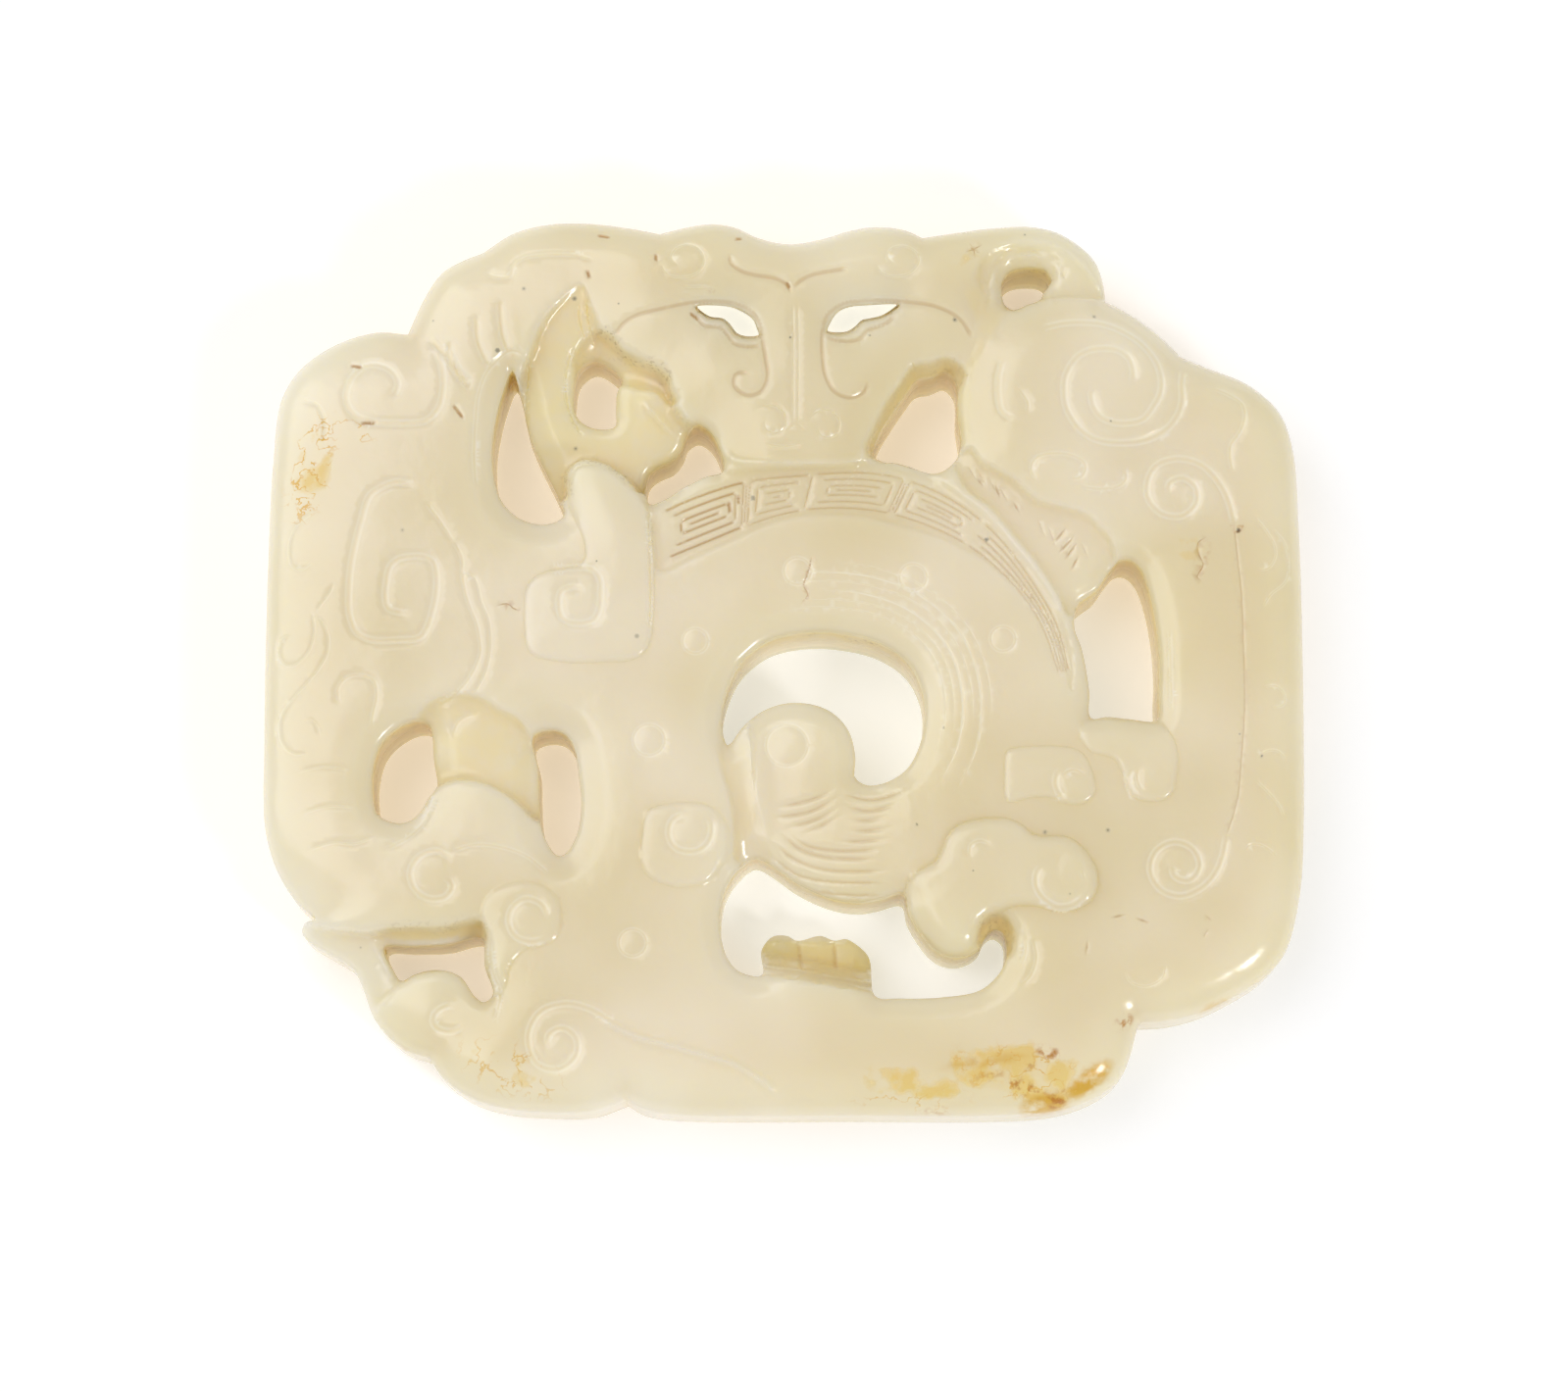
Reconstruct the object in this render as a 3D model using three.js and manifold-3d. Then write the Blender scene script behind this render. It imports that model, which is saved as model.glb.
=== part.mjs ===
import * as THREE from 'three';
import { mergeVertices } from 'three/addons/utils/BufferGeometryUtils.js';
import Module from 'manifold-3d';

// Openwork plaque of pale nephrite, carved as a coiled dragon that faces the viewer.
// It lies on its flat back, with the dragon's mask at the top of the plan and +Z out of its face.

const wasm = await Module();
wasm.setup();

// Driving sizes in millimetres
const WIDTH = 68;
const THICKNESS = 9;
const RIM_ROUND = 1.3; // rounding of the outer rim, front and back
const FIELD_DROP = 0.5; // the field lies this far below the mask, horn, knob and curls
const WINDOW_RIM = 0.7; // chamfer round the front of each window
const RAISED_EDGE = 0.5; // rounding on top of a raised member
const MASK_RAMP = 1.2; // the mask swells up from the field over this width
const HORN_DROP = 0.25; // the horn, below the full face
const CURL_DROP = 0.28; // the clouds and the limb's curl, below the full face
const RING_DROP = 1.9; // the coil beside the mask
const HOLLOW_DROP = 5.5; // the hollow under the mask's left edge
const LINK_DROP = 1.5; // the link between the two left windows
const TAIL_DROP = 2.5; // the tail tip at the lower left
const VALLEY_DROP = 1.2; // the cleft between mask and haunch
const STRIP_DROP = 1.1; // the scaled strip under the haunch
const LOBE_DROP = 0.9; // the lobe behind the haunch
const RECESS_DROP = 2; // the hollow left of the bird's head
const RECESS_LEAN = 0.6; // how far a recess wall leans out on its way up
const CLEFT_LEAN = 0.25;
const TAIL_LEAN = 1.6;
const TAIL_ROUND = 0.5;
const PAW_TOP = 3.6; // the paw's upper side above the back
const PAW_BOTTOM = 0.6;
const EYE_LEAN = 2; // how far an eye hole climbs towards the forehead on its way through
const SCROLL_WIDTH = 0.75; // main scroll grooves
const SCROLL_DEPTH = 0.35;
const LINE_WIDTH = 0.45; // finer carved lines
const LINE_DEPTH = 0.25;
const DOME_HEIGHT = 0.2;
const CURVE_STEP = 1.5; // length of one facet along a curve
const CURL_STEP = 1.25; // and along a curl
const FRET_PERIODS = 5; // keyfret hooks along the coil
const FRET_NEST = 2; // hooks inside each other
const FRET_END = 0.62; // share of the band that the fret fills before it turns into plain lines
const FRET_GAP = 0.08; // bare share at each end of a hook
const BAND_END = 0.98; // share of the band at which the plain lines stop
const BAND_LINES = 4;
const FEATHER_ROWS = 5; // lines on the bird's breast

// The drawing has a hundred units across the plaque, with its origin at the middle
const unit = WIDTH / 100;
const face = THICKNESS;
const field = THICKNESS - FIELD_DROP;
const clear = 1; // how far a cutting solid stands out past what it cuts
const overlap = 0.4; // how far joined solids run into each other

// The rim is a row of lobes that meet in notches, clockwise from the notch above the left flank
const lobes = {
  leftFlank: [
    [-36.6, 32.5], [-39.5, 32.7], [-43.5, 31.5], [-47, 29], [-48.8, 26], [-49.5, 20], [-49.9, 8],
    [-50, -8], [-49.8, -15.9], [-48.7, -19.8], [-46.9, -22.8], [-44.9, -24.7],
  ].reverse(),
  tailRoot: [
    [-44.9, -24.7], [-43, -27.6], [-40.4, -30.4], [-37.6, -33.4], [-35.6, -35.8], [-33.9, -37.9],
  ].reverse(),
  lowerLeft: [
    [-33.9, -37.9], [-32.6, -39.8], [-30.1, -41.7], [-26.8, -42.8], [-22.4, -43.2], [-18.1, -43.1],
    [-15, -42],
  ].reverse(),
  lower: [
    [-15, -42], [-13.5, -42.9], [-10.5, -43.4], [6.6, -43.5], [20, -43.5], [25.8, -43.1], [29.3, -42],
    [31.9, -40.2], [33.1, -37.6], [34.1, -34.6],
  ].reverse(),
  rightFlank: [
    [34.1, -34.6], [36.9, -34.4], [40, -33.6], [43.3, -32], [45.8, -30.4], [47.9, -28], [49.4, -22.6],
    [49.9, -15.7], [50, 4], [49.8, 13.9], [49.3, 21.3], [48, 24.8], [45, 27.5], [41.2, 29.1], [38.6, 30.2],
  ].reverse(),
  haunch: [[31.3, 35.7], [32.5, 35.1], [34.9, 33.6], [36.8, 32], [38.6, 30.2]],
  upperRight: [
    [13.5, 41.9], [17.1, 42.5], [20, 43], [23.8, 43.2], [26.4, 42.7], [28.5, 41.5], [30.3, 39.7],
    [31.1, 37.5], [31.3, 35.7],
  ],
  head: [
    [-12.1, 42.3], [-9.3, 43], [-6.9, 43.3], [-4.6, 42.9], [-2.5, 41.9], [0.5, 41.3], [3.7, 41.8],
    [6.3, 42.6], [8.9, 43], [11.7, 42.7], [13.5, 41.9],
  ],
  upperLeft: [[-29.3, 40.6], [-26.4, 42.5], [-23, 43.4], [-19, 43.5], [-15, 42.9], [-12.1, 42.3]],
  shoulder: [[-36.6, 32.5], [-35, 36.1], [-33.3, 38.6], [-31.3, 39.8], [-29.3, 40.6]],
};

// The tail tip lies lower than the body and hooks out past it
const tailTip = [
  [-44.2, -24.4], [-45.8, -24.9], [-46.4, -25.8], [-45.7, -26.8], [-43.6, -27.9], [-41.3, -29.4],
  [-40.3, -31.4], [-39.4, -33.8], [-38.1, -35.6], [-36.1, -37.1], [-33.9, -38], [-31, -37.6], [-30.4, -35],
  [-32, -32], [-35, -28.4], [-39, -25.4],
];

// Windows that go right through, with straight walls
const windows = {
  leftDrop: [
    [-26.3, 28.5], [-25.4, 25.7], [-24.9, 23.3], [-23, 18.9], [-21.3, 14.2], [-23, 13.4], [-25.4, 13.9],
    [-27.2, 15.6], [-28, 18], [-28.2, 21], [-27.5, 25.4],
  ],
  ring: [
    [-20.3, 24.8], [-20.4, 27], [-19.9, 29.1], [-18.4, 30.1], [-16.9, 29.4], [-15.7, 28], [-16.2, 26.6],
    [-16.4, 23.5], [-18.2, 23.2], [-19.6, 23.8],
  ],
  underCheek: [
    [-13.4, 15.3], [-13.5, 17.5], [-12.6, 19.2], [-11.2, 20.4], [-10, 21.7], [-9.5, 22.9], [-8.4, 23.2],
    [-7.3, 22.6], [-6.2, 21], [-5.9, 18.8], [-8, 17.8], [-10, 16.7],
  ],
  rightOfHead: [
    [8.7, 20.3], [9.2, 22.3], [10.4, 24.4], [11.8, 26.5], [12.9, 27.9], [15.7, 28.7], [16.7, 27.6],
    [16.8, 24.5], [17.1, 21], [16.2, 19.2], [14.6, 18.3], [12, 19],
  ],
  upperRight: [
    [21.3, 35.2], [21.4, 38.2], [22.8, 39.3], [25, 39.5], [26.3, 38.6], [26.2, 37], [25.3, 35.7],
    [22.2, 34.5],
  ],
  crescent: [
    [-5.6, -7.9], [-5.9, -5.5], [-5.4, -2.6], [-4.1, 0.3], [-2, 2], [1, 2.9], [4, 2.9], [7, 2.3], [10, 1.2],
    [12.2, -0.8], [13.4, -3.4], [13.6, -6.5], [12.8, -9], [11, -11.1], [8.6, -12], [6.9, -11.3], [6.8, -9],
    [5.8, -6.1], [4, -4.4], [1.5, -3.8], [-1, -4.2], [-3.2, -5.5], [-4.8, -7.3],
  ],
  rightDrop: [
    [29.4, -5.4], [29.2, -2.5], [28.7, 0.8], [28, 3.8], [28.4, 5.5], [30, 7.2], [31.4, 9], [32.8, 10],
    [34, 9.5], [35, 7.4], [35.7, 4.5], [36.1, 1], [36.1, -3], [35.9, -5.9], [33.5, -5.6],
  ],
  leftHook: [
    [-34.2, -5.3], [-36.2, -5.9], [-38, -7], [-39.1, -9], [-39.5, -11.5], [-39.3, -14.2], [-38.3, -15.6],
    [-36.6, -15.9], [-35.2, -15.1], [-33.4, -12.6], [-33.7, -9.8],
  ],
  leftComma: [
    [-25.6, -6.6], [-24.6, -5.9], [-22.5, -6], [-20.9, -6.8], [-19.9, -9], [-19.5, -12], [-19.5, -14.8],
    [-20.1, -17.2], [-21.3, -18.9], [-22.4, -17.6], [-23.4, -15.2], [-23.1, -12.6], [-23.6, -10.2],
    [-24.2, -8.6], [-25.4, -7.8],
  ],
  tailGap: [
    [-38.5, -27.2], [-35, -27.2], [-29.4, -26.5], [-28.6, -28.2], [-28.1, -30.2], [-27.7, -31.9],
    [-28.4, -32.9], [-29.5, -32.6], [-30.6, -30.7], [-32.3, -29.6], [-34.6, -29.6], [-36.4, -30.6],
    [-37.6, -29.6],
  ],
  overPaw: [
    [-2.8, -18.6], [-1.5, -19.6], [0.5, -21], [3, -22.3], [6, -23.1], [9, -23.1], [11.5, -22.4], [11.9, -24],
    [12.6, -25.8], [14, -27.4], [16, -28.6], [17.8, -28.1], [19, -26.9], [20, -25.6], [21.2, -26.2],
    [21.4, -28], [20.9, -30], [19.2, -31.6], [15, -32.3], [10, -32.5], [5, -31.8], [0, -30.9], [-3, -30.2],
    [-5, -29.4], [-6, -27.5], [-6.1, -24.5], [-5.8, -22.5], [-5, -20.5],
  ],
};
const eyes = {
  left: [
    [-8.9, 34.6], [-5.2, 34.7], [-3.6, 34], [-2.6, 32.8], [-2.4, 31.6], [-3.7, 31.3], [-4.7, 31.5],
    [-5.3, 32.6], [-6.6, 33.2], [-7.9, 33.7],
  ],
  right: [
    [4.1, 31.9], [4.3, 33], [5.2, 34.2], [6.6, 34.7], [11.6, 34.8], [9.6, 33.5], [8.3, 33.2], [6.8, 31.9],
    [5.4, 31.7],
  ],
};

// Members that stand above the field, each with its depth below the full face
const raisedMembers = [
  {
    drop: 0,
    ramp: MASK_RAMP,
    outline: [
      [-17.2, 32], [-15.7, 30.2], [-13, 28.9], [-11.3, 27.6], [-10.4, 25.3], [-8, 23.2], [-6.2, 21.5],
      [-4.9, 19], [0, 18.4], [5, 18.6], [7.8, 20.5], [9.2, 24.6], [11.3, 27.4], [13, 28.3], [16, 28.6],
      [17.8, 29.6], [18.8, 32.4], [19.4, 38], [20, 46], [-17, 46], [-19.6, 40], [-18.6, 34.6],
    ],
  },
  {
    drop: HORN_DROP,
    outline: [
      [-20.7, 15.2], [-20.4, 17.6], [-19, 19.1], [-17.2, 18.9], [-15.3, 17.6], [-13.4, 15.6], [-13.2, 10],
      [-13.2, 4], [-13.9, 1.2], [-16.2, 0], [-20, -0.3], [-23.4, 0], [-24.8, 1.4], [-25, 5], [-24.6, 7.4],
      [-23, 8.6], [-20.4, 9.2], [-19.6, 11],
    ],
  },
  {
    drop: 0,
    outline: [
      [11.7, -23.3], [11.8, -22], [13.5, -20], [14.9, -17.9], [17, -15.8], [19, -15.2], [20.8, -15.2],
      [24, -16.7], [28, -17.3], [29.6, -19], [29.8, -21.3], [28.8, -23.3], [26, -24], [23.4, -23.6],
      [20.6, -24.4], [18.6, -26.4], [16, -27.9], [13.6, -26.6], [12.2, -24.8],
    ],
  },
  {
    drop: CURL_DROP,
    outline: [
      [21.4, -8.6], [24, -8.5], [27, -8.5], [28.8, -9.5], [29.7, -11.6], [29, -13.6], [27.4, -14.1],
      [25.9, -13.2], [24.6, -11.6], [22.6, -11.2], [21.2, -10.4],
    ],
  },
  {
    drop: CURL_DROP,
    outline: [
      [28.4, -6.6], [30, -5.9], [33, -6], [36, -6.4], [37.7, -7.4], [38.1, -10], [37.4, -12.8], [35.6, -13.9],
      [33.8, -13.5], [32.8, -11.8], [32.2, -10], [30.4, -9], [28.6, -8.2],
    ],
  },
  {
    drop: CURL_DROP,
    outline: [
      [-28.1, -28], [-28.3, -25.4], [-27.6, -23.2], [-25.5, -21.5], [-23, -21.5], [-21.5, -23],
      [-21.2, -25.2], [-22, -27.2], [-24.2, -27.9], [-26, -29.6],
    ],
  },
  {
    drop: 0,
    outline: [
      [18, 20.8], [18.3, 25], [19, 29.5], [20.8, 33], [22, 34.2], [24, 35.1], [27, 35.5], [31.3, 35.6],
      [35.5, 33.4], [38.6, 30.1], [39.4, 27], [38.6, 23], [35.4, 20.4], [32.6, 18.6], [31, 16.4],
      [30.6, 13.6], [27.5, 14.8], [25, 15.4], [22, 17.7], [20, 19.1],
    ],
  },
];

// Parts of the face that lie deeper, each with its depth below the full face
const recesses = [
  {
    drop: RING_DROP,
    outline: [
      [-19.6, 36.8], [-21.6, 35.2], [-23.4, 33], [-24.6, 30.2], [-26.2, 27], [-26, 20], [-23, 15.4],
      [-20.8, 15.4], [-20.9, 18], [-19.4, 19.8], [-16.9, 19.4], [-14.6, 17.6], [-13, 16.6], [-9, 19.6],
      [-9.3, 23.6], [-10.9, 25.8], [-11.3, 27.4], [-13, 28.6], [-15.6, 29.6], [-17.4, 31.6], [-18.4, 34],
    ],
  },
  {
    drop: HOLLOW_DROP,
    outline: [
      [-18.2, 32.2], [-16.9, 31.8], [-15.7, 30.4], [-13, 29], [-11.2, 27.6], [-10.4, 25.3], [-12.4, 26.6],
      [-14.4, 27], [-16.4, 27.4], [-18, 28], [-20, 28], [-19.8, 30.4],
    ],
  },
  {
    drop: LINK_DROP,
    outline: [
      [-33.4, -4.6], [-31.6, -3.6], [-29.4, -3.4], [-27.6, -5], [-26.9, -7.4], [-24.6, -9], [-22.6, -12],
      [-24.1, -14.6], [-26.6, -12.4], [-29.4, -11.2], [-32.4, -11.6], [-35, -14], [-36.4, -9],
    ],
  },
  {
    drop: TAIL_DROP,
    lean: TAIL_LEAN,
    outline: [
      [-47.6, -26.3], [-43.5, -25.9], [-38.5, -26.8], [-33, -27.8], [-29.2, -31], [-28.6, -34.2],
      [-30.4, -36.6], [-34.4, -38.6], [-38, -38.4], [-42.6, -33],
    ],
  },
  {
    drop: VALLEY_DROP,
    lean: CLEFT_LEAN,
    outline: [
      [16, 27.4], [16.6, 28.6], [18.4, 30.2], [18.8, 32], [18.2, 34.2], [19.6, 36.8], [22.4, 37.6],
      [22, 34.4], [20, 31.8], [18.5, 28.6], [17.9, 25], [17.9, 21.6], [16.6, 20.6],
    ],
  },
  {
    drop: STRIP_DROP,
    outline: [
      [16.4, 19.4], [17.9, 20.7], [20.3, 19], [22.2, 17.7], [23.4, 16.4], [26.6, 14.9], [28.8, 13.4],
      [30.2, 11.6], [31.4, 9.6], [29.4, 6.4], [27, 5], [25, 8.4], [22.7, 11.6], [20.2, 14.7], [17.6, 17.2],
    ],
  },
  {
    drop: LOBE_DROP,
    outline: [
      [19.4, 37], [21, 39.4], [24.4, 41], [28, 40.2], [30, 37.6], [30.6, 35.4], [27, 35.3], [24.4, 35.4],
      [22, 34.8],
    ],
  },
  {
    drop: RECESS_DROP,
    outline: [
      [-6.2, -6.4], [-6.4, -9.4], [-5.2, -12.4], [-4.6, -15.4], [-4.6, -18], [-2.8, -19.8], [-2, -18],
      [-2.9, -15], [-2.9, -11], [-2.4, -8], [-3.4, -6.4],
    ],
  },
];

const paw = [
  [-1.8, -31.4], [-2.3, -27.2], [-1.6, -26], [-0.4, -25.7], [0.9, -26.1], [2.1, -25.9], [3.4, -25.8],
  [4.8, -26.2], [6.2, -25.9], [7.6, -26.5], [8.4, -28], [8.4, -33], [3, -33.2],
];
const toeLines = [
  [[1, -26.4], [1.6, -28], [1.8, -30.6]],
  [[4.8, -26.4], [5.2, -28], [5.4, -30.8]],
];

// Grooves on the field, drawn point by point
const lines = {
  shoulderSpur: [
    [-34.6, 15.6], [-32.4, 12.9], [-30.6, 9.6], [-29.9, 6.4], [-29, 2.4], [-29.4, -0.8], [-31.4, -3.1],
  ],
  bodyLine: [
    [36, -21.8], [38.6, -22.4], [40.9, -20.9], [42.2, -16], [43.4, -8], [44, 2], [43.6, 10], [42.5, 15.4],
    [40.2, 18.9], [37.2, 19.2], [35.4, 17], [36, 14.8], [38.4, 14.2],
  ],
  limbFold: [[-30, -18.2], [-26.6, -17.1], [-23.8, -17.7], [-22, -20.5]],
  combRidge: [[-20.9, -22], [-18.6, -17], [-17.6, -12], [-18.8, -7.3], [-21, -5]],
  hipLine: [[-15, -35.8], [-9, -37.5], [-3.5, -39.4], [0.2, -42]],
  lowerRim: [
    [-8.4, -24.8], [-8, -28], [-5.4, -31], [0, -32.9], [8, -33.8], [16, -33.6], [22, -31.5], [23.8, -28],
    [23.4, -25.6],
  ],
  crescentOver: [[-2.4, 3.4], [3, 4.2], [8, 4], [12, 2], [14.4, -1.4], [15.1, -6]],
};
// and on the members that stand at the full face
const faceLines = {
  haunchRibbon: [
    [22.2, 31.2], [25, 32.6], [28.5, 33.2], [31.8, 32.6], [34.6, 30.8], [36.3, 28.2], [36.2, 25.8],
    [34.6, 23.7], [32, 23], [29.9, 24], [29.2, 26],
  ],
  leftBrow: [[-17, 32.6], [-15, 33.9], [-12.5, 34.6], [-9.6, 35]],
  leftCheek: [[-1.7, 31.6], [-1.7, 28], [-2.9, 25.6], [-4.6, 26.3], [-4.7, 28], [-3.4, 28.3]],
  rightBrow: [[12.2, 35.1], [14.5, 34.7], [16.8, 33.8], [18, 32]],
  rightCheek: [[3.6, 31.6], [3.9, 28], [5.2, 25.8], [7, 26.3], [7.2, 28], [6, 28.4]],
  nose: [[1, 36], [1.1, 30], [1.1, 23]],
  forehead: [[-5.2, 39.4], [-3.7, 38], [-1.6, 37.5], [0.6, 36.4], [2.4, 37.5], [5, 38.4]],
  lip: [[-3.6, 21.4], [0, 21], [3.4, 21], [6.4, 21.6]],
};

// Curls, each a spiral that may be squared off: its depth below the full face, centre, half width and
// height, start and turn in degrees, and the share of its size that is left at its inner end
const curls = [
  { drop: FIELD_DROP, at: [-38, 27], half: [4.6, 4.1], from: 60, turn: -430, end: 0.22, square: 0.35 },
  { drop: FIELD_DROP, at: [-37.3, 6.6], half: [4.3, 4.8], from: 170, turn: 480, end: 0.25, square: 0.45 },
  { drop: FIELD_DROP, at: [-9.7, -17.6], half: [4, 3.9], from: -50, turn: -540, end: 0.25, square: 0.3 },
  { drop: FIELD_DROP, at: [-33.1, -20.6], half: [2.1, 2.6], from: 80, turn: 330, end: 0.4, square: 0 },
  { drop: FIELD_DROP, at: [-20.9, -35.6], half: [2.7, 2.7], from: 40, turn: 330, end: 0.35, square: 0 },
  { drop: 0, at: [32.3, 26.7], half: [6.4, 6], from: 25, turn: -450, end: 0.18, square: 0, late: 2 },
  { drop: 0, at: [22.6, 24.9], half: [1.8, 2.1], from: 170, turn: 300, end: 0.35, square: 0 },
  { drop: 0, at: [26.8, -20.7], half: [2.6, 2.7], from: 60, turn: -400, end: 0.35, square: 0 },
  { drop: HORN_DROP, at: [-19.7, 4.7], half: [2.1, 2.6], from: 60, turn: -420, end: 0.5, square: 0.45 },
  { drop: CURL_DROP, at: [27.7, -11.7], half: [1.6, 1.7], from: 60, turn: -380, end: 0.4, square: 0 },
  { drop: CURL_DROP, at: [35.4, -10.9], half: [1.9, 2], from: 60, turn: -380, end: 0.4, square: 0.2 },
  { drop: CURL_DROP, at: [-24.3, -25], half: [1.9, 2.1], from: 100, turn: 330, end: 0.4, square: 0 },
];

// Small domes, each with its centre and its radius
const domes = [
  [1.2, 8.6, 1.7], [12.3, 8.2, 1.7], [21.2, 1.8, 1.4], [-8.8, 2, 1.2], [-12.6, -7.9, 1.6],
  [-14.7, -27.4, 1.6], [0.4, -8, 1.5], [38.2, 16.6, 1.5], [38.2, -19.6, 1.5],
];

// The band of keyfret along the coil lies between these two lines
const bandOuter = [
  [-12, 14.9], [-9, 16.4], [-4, 17.9], [2, 18.4], [9, 18.4], [14, 17.1], [18, 15.2], [21, 12.2], [24, 8.2],
  [26.4, 3.4], [27.8, -1.6],
];
const bandInner = [
  [-10.6, 9.2], [-7, 11], [-3, 12.8], [2, 13.8], [8, 13.9], [12.6, 13], [16.4, 11.5], [19.6, 9.2],
  [22.4, 6], [24.6, 2.2], [26, -1.8],
];
// A smooth curve through drawn points
function curveThrough(points, height = 0, closed = false) {
  const places = points.map(([x, y]) => new THREE.Vector3(x * unit, y * unit, height));
  return new THREE.CatmullRomCurve3(places, closed, 'centripetal');
}

function sampled(points, closed) {
  const curve = curveThrough(points, 0, closed);
  const count = Math.max(3, Math.round(curve.getLength() / CURVE_STEP));
  return curve.getSpacedPoints(count).slice(0, -1).map((p) => new THREE.Vector2(p.x, p.y));
}

const closedOutline = (points) => sampled(points, true);

function rimOutline() {
  const order = [
    'shoulder', 'upperLeft', 'head', 'upperRight', 'haunch', 'rightFlank', 'lower', 'lowerLeft', 'tailRoot',
    'leftFlank',
  ];
  return order.flatMap((name) => sampled(lobes[name], false));
}

function solid(geometry) {
  geometry.deleteAttribute('normal');
  geometry.deleteAttribute('uv');
  const merged = mergeVertices(geometry, 1e-5);
  const mesh = new wasm.Mesh({
    numProp: 3,
    vertProperties: merged.attributes.position.array,
    triVerts: Uint32Array.from(merged.index.array),
  });
  return new wasm.Manifold(mesh);
}

// Each corner of an anticlockwise outline: which way is out, and how tight it turns
function corners(outline) {
  const count = outline.length;
  return outline.map((here, i) => {
    const before = here.clone().sub(outline[(i + count - 1) % count]);
    const after = outline[(i + 1) % count].clone().sub(here);
    const turn = Math.atan2(before.cross(after), before.dot(after));
    const radius = (before.length() + after.length()) / 2 / turn;
    const heading = before.normalize().add(after.normalize()).normalize();
    return { here, radius, outward: new THREE.Vector2(heading.y, -heading.x) };
  });
}

// A block that swells or shrinks on its way up, through [height, offset] steps.
// No corner moves past the centre of its own bend.
function stepped(outline, levels) {
  const ring = THREE.ShapeUtils.isClockWise(outline) ? [...outline].reverse() : outline;
  const steps = levels.length - 1;
  const upward = { depth: steps, steps, bevelEnabled: false };
  const geometry = new THREE.ExtrudeGeometry(new THREE.Shape(ring), upward);
  const key = (x, y) => `${Math.fround(x)} ${Math.fround(y)}`;
  const byPlace = new Map(corners(ring).map((corner) => [key(corner.here.x, corner.here.y), corner]));
  const tightest = 0.8;
  const place = geometry.attributes.position;
  for (let i = 0; i < place.count; i += 1) {
    const { here, radius, outward } = byPlace.get(key(place.getX(i), place.getY(i)));
    const [height, offset] = levels[Math.round(place.getZ(i))];
    const most = offset * radius < 0 ? tightest * Math.abs(radius) : Infinity;
    const moved = Math.sign(offset) * Math.min(Math.abs(offset), most);
    place.setXYZ(i, here.x + outward.x * moved, here.y + outward.y * moved, height);
  }
  return geometry;
}

const block = (outline, bottom, top) => stepped(outline, [[bottom, 0], [top, 0]]);

// A block whose top and bottom edges are rounded off in so many facets
function rounded(outline, bottom, top, edge, facets) {
  const quarter = Array.from({ length: facets + 1 }, (_, i) => {
    const angle = (Math.PI / 2) * (i / facets);
    return { drop: edge * (1 - Math.cos(angle)), offset: edge * (Math.sin(angle) - 1) };
  });
  const lower = quarter.map(({ drop, offset }) => [bottom + drop, offset]);
  const upper = quarter.map(({ drop, offset }) => [top - drop, offset]).reverse();
  return stepped(outline, [...lower, ...upper]);
}

// A cutter that widens by `lean` between its floor and `top`, then goes straight up
function flaring(outline, floor, top, lean, inset) {
  return stepped(outline, [[floor, -inset], [top, lean - inset], [top + clear, lean - inset]]);
}

// A V-shaped groove along a curve that lies on the surface it is cut into
function groove(curve, width, depth, step = CURVE_STEP) {
  const lift = depth / 2;
  const half = (width / 2) * (1 + lift / depth);
  const section = new THREE.Shape([
    new THREE.Vector2(depth, 0),
    new THREE.Vector2(-lift, half),
    new THREE.Vector2(-lift, -half),
  ]);
  const steps = Math.max(2, Math.round(curve.getLength() / step));
  return new THREE.ExtrudeGeometry(section, { steps, bevelEnabled: false, extrudePath: curve });
}

// Points of a spiral that is squared off by raising its cosine and sine to a power
function curlPoints({ at, half, from, turn, end, square, late = 1 }) {
  const degreesPerPoint = 30;
  const count = Math.round(Math.abs(turn) / degreesPerPoint);
  const squared = (v) => Math.sign(v) * Math.abs(v) ** (1 - square);
  return Array.from({ length: count + 1 }, (_, i) => {
    const share = i / count;
    const angle = THREE.MathUtils.degToRad(from + turn * share);
    const size = 1 + (end - 1) * share ** late;
    const reach = [Math.cos(angle), Math.sin(angle)].map((v, axis) => half[axis] * size * squared(v));
    return [at[0] + reach[0], at[1] + reach[1]];
  });
}

function dome([x, y, radius], surface) {
  const reach = radius * unit;
  const ball = (reach ** 2 + DOME_HEIGHT ** 2) / (2 * DOME_HEIGHT);
  const cap = Math.asin(reach / ball);
  const rings = 3;
  const profile = [new THREE.Vector2(0, surface - overlap), new THREE.Vector2(reach, surface - overlap)];
  for (let i = 0; i <= rings; i += 1) {
    const angle = cap * (1 - i / rings);
    const height = surface + DOME_HEIGHT - ball * (1 - Math.cos(angle));
    profile.push(new THREE.Vector2(ball * Math.sin(angle), height));
  }
  profile[profile.length - 1].x = 0;
  const sides = 14;
  return new THREE.LatheGeometry(profile, sides).rotateX(Math.PI / 2).translate(x * unit, y * unit, 0);
}

// A place in the band: `along` from its left end, `across` from its inner line
const outerLine = curveThrough(bandOuter, field);
const innerLine = curveThrough(bandInner, field);
const inBand = (along, across) => innerLine.getPointAt(along).lerp(outerLine.getPointAt(along), across);

function bar(start, end) {
  const length = start.distanceTo(end) + LINE_WIDTH;
  const geometry = new THREE.BoxGeometry(length, LINE_WIDTH, LINE_DEPTH * 2);
  geometry.rotateZ(Math.atan2(end.y - start.y, end.x - start.x));
  const middle = start.clone().add(end).multiplyScalar(1 / 2);
  return geometry.translate(middle.x, middle.y, field);
}

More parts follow.
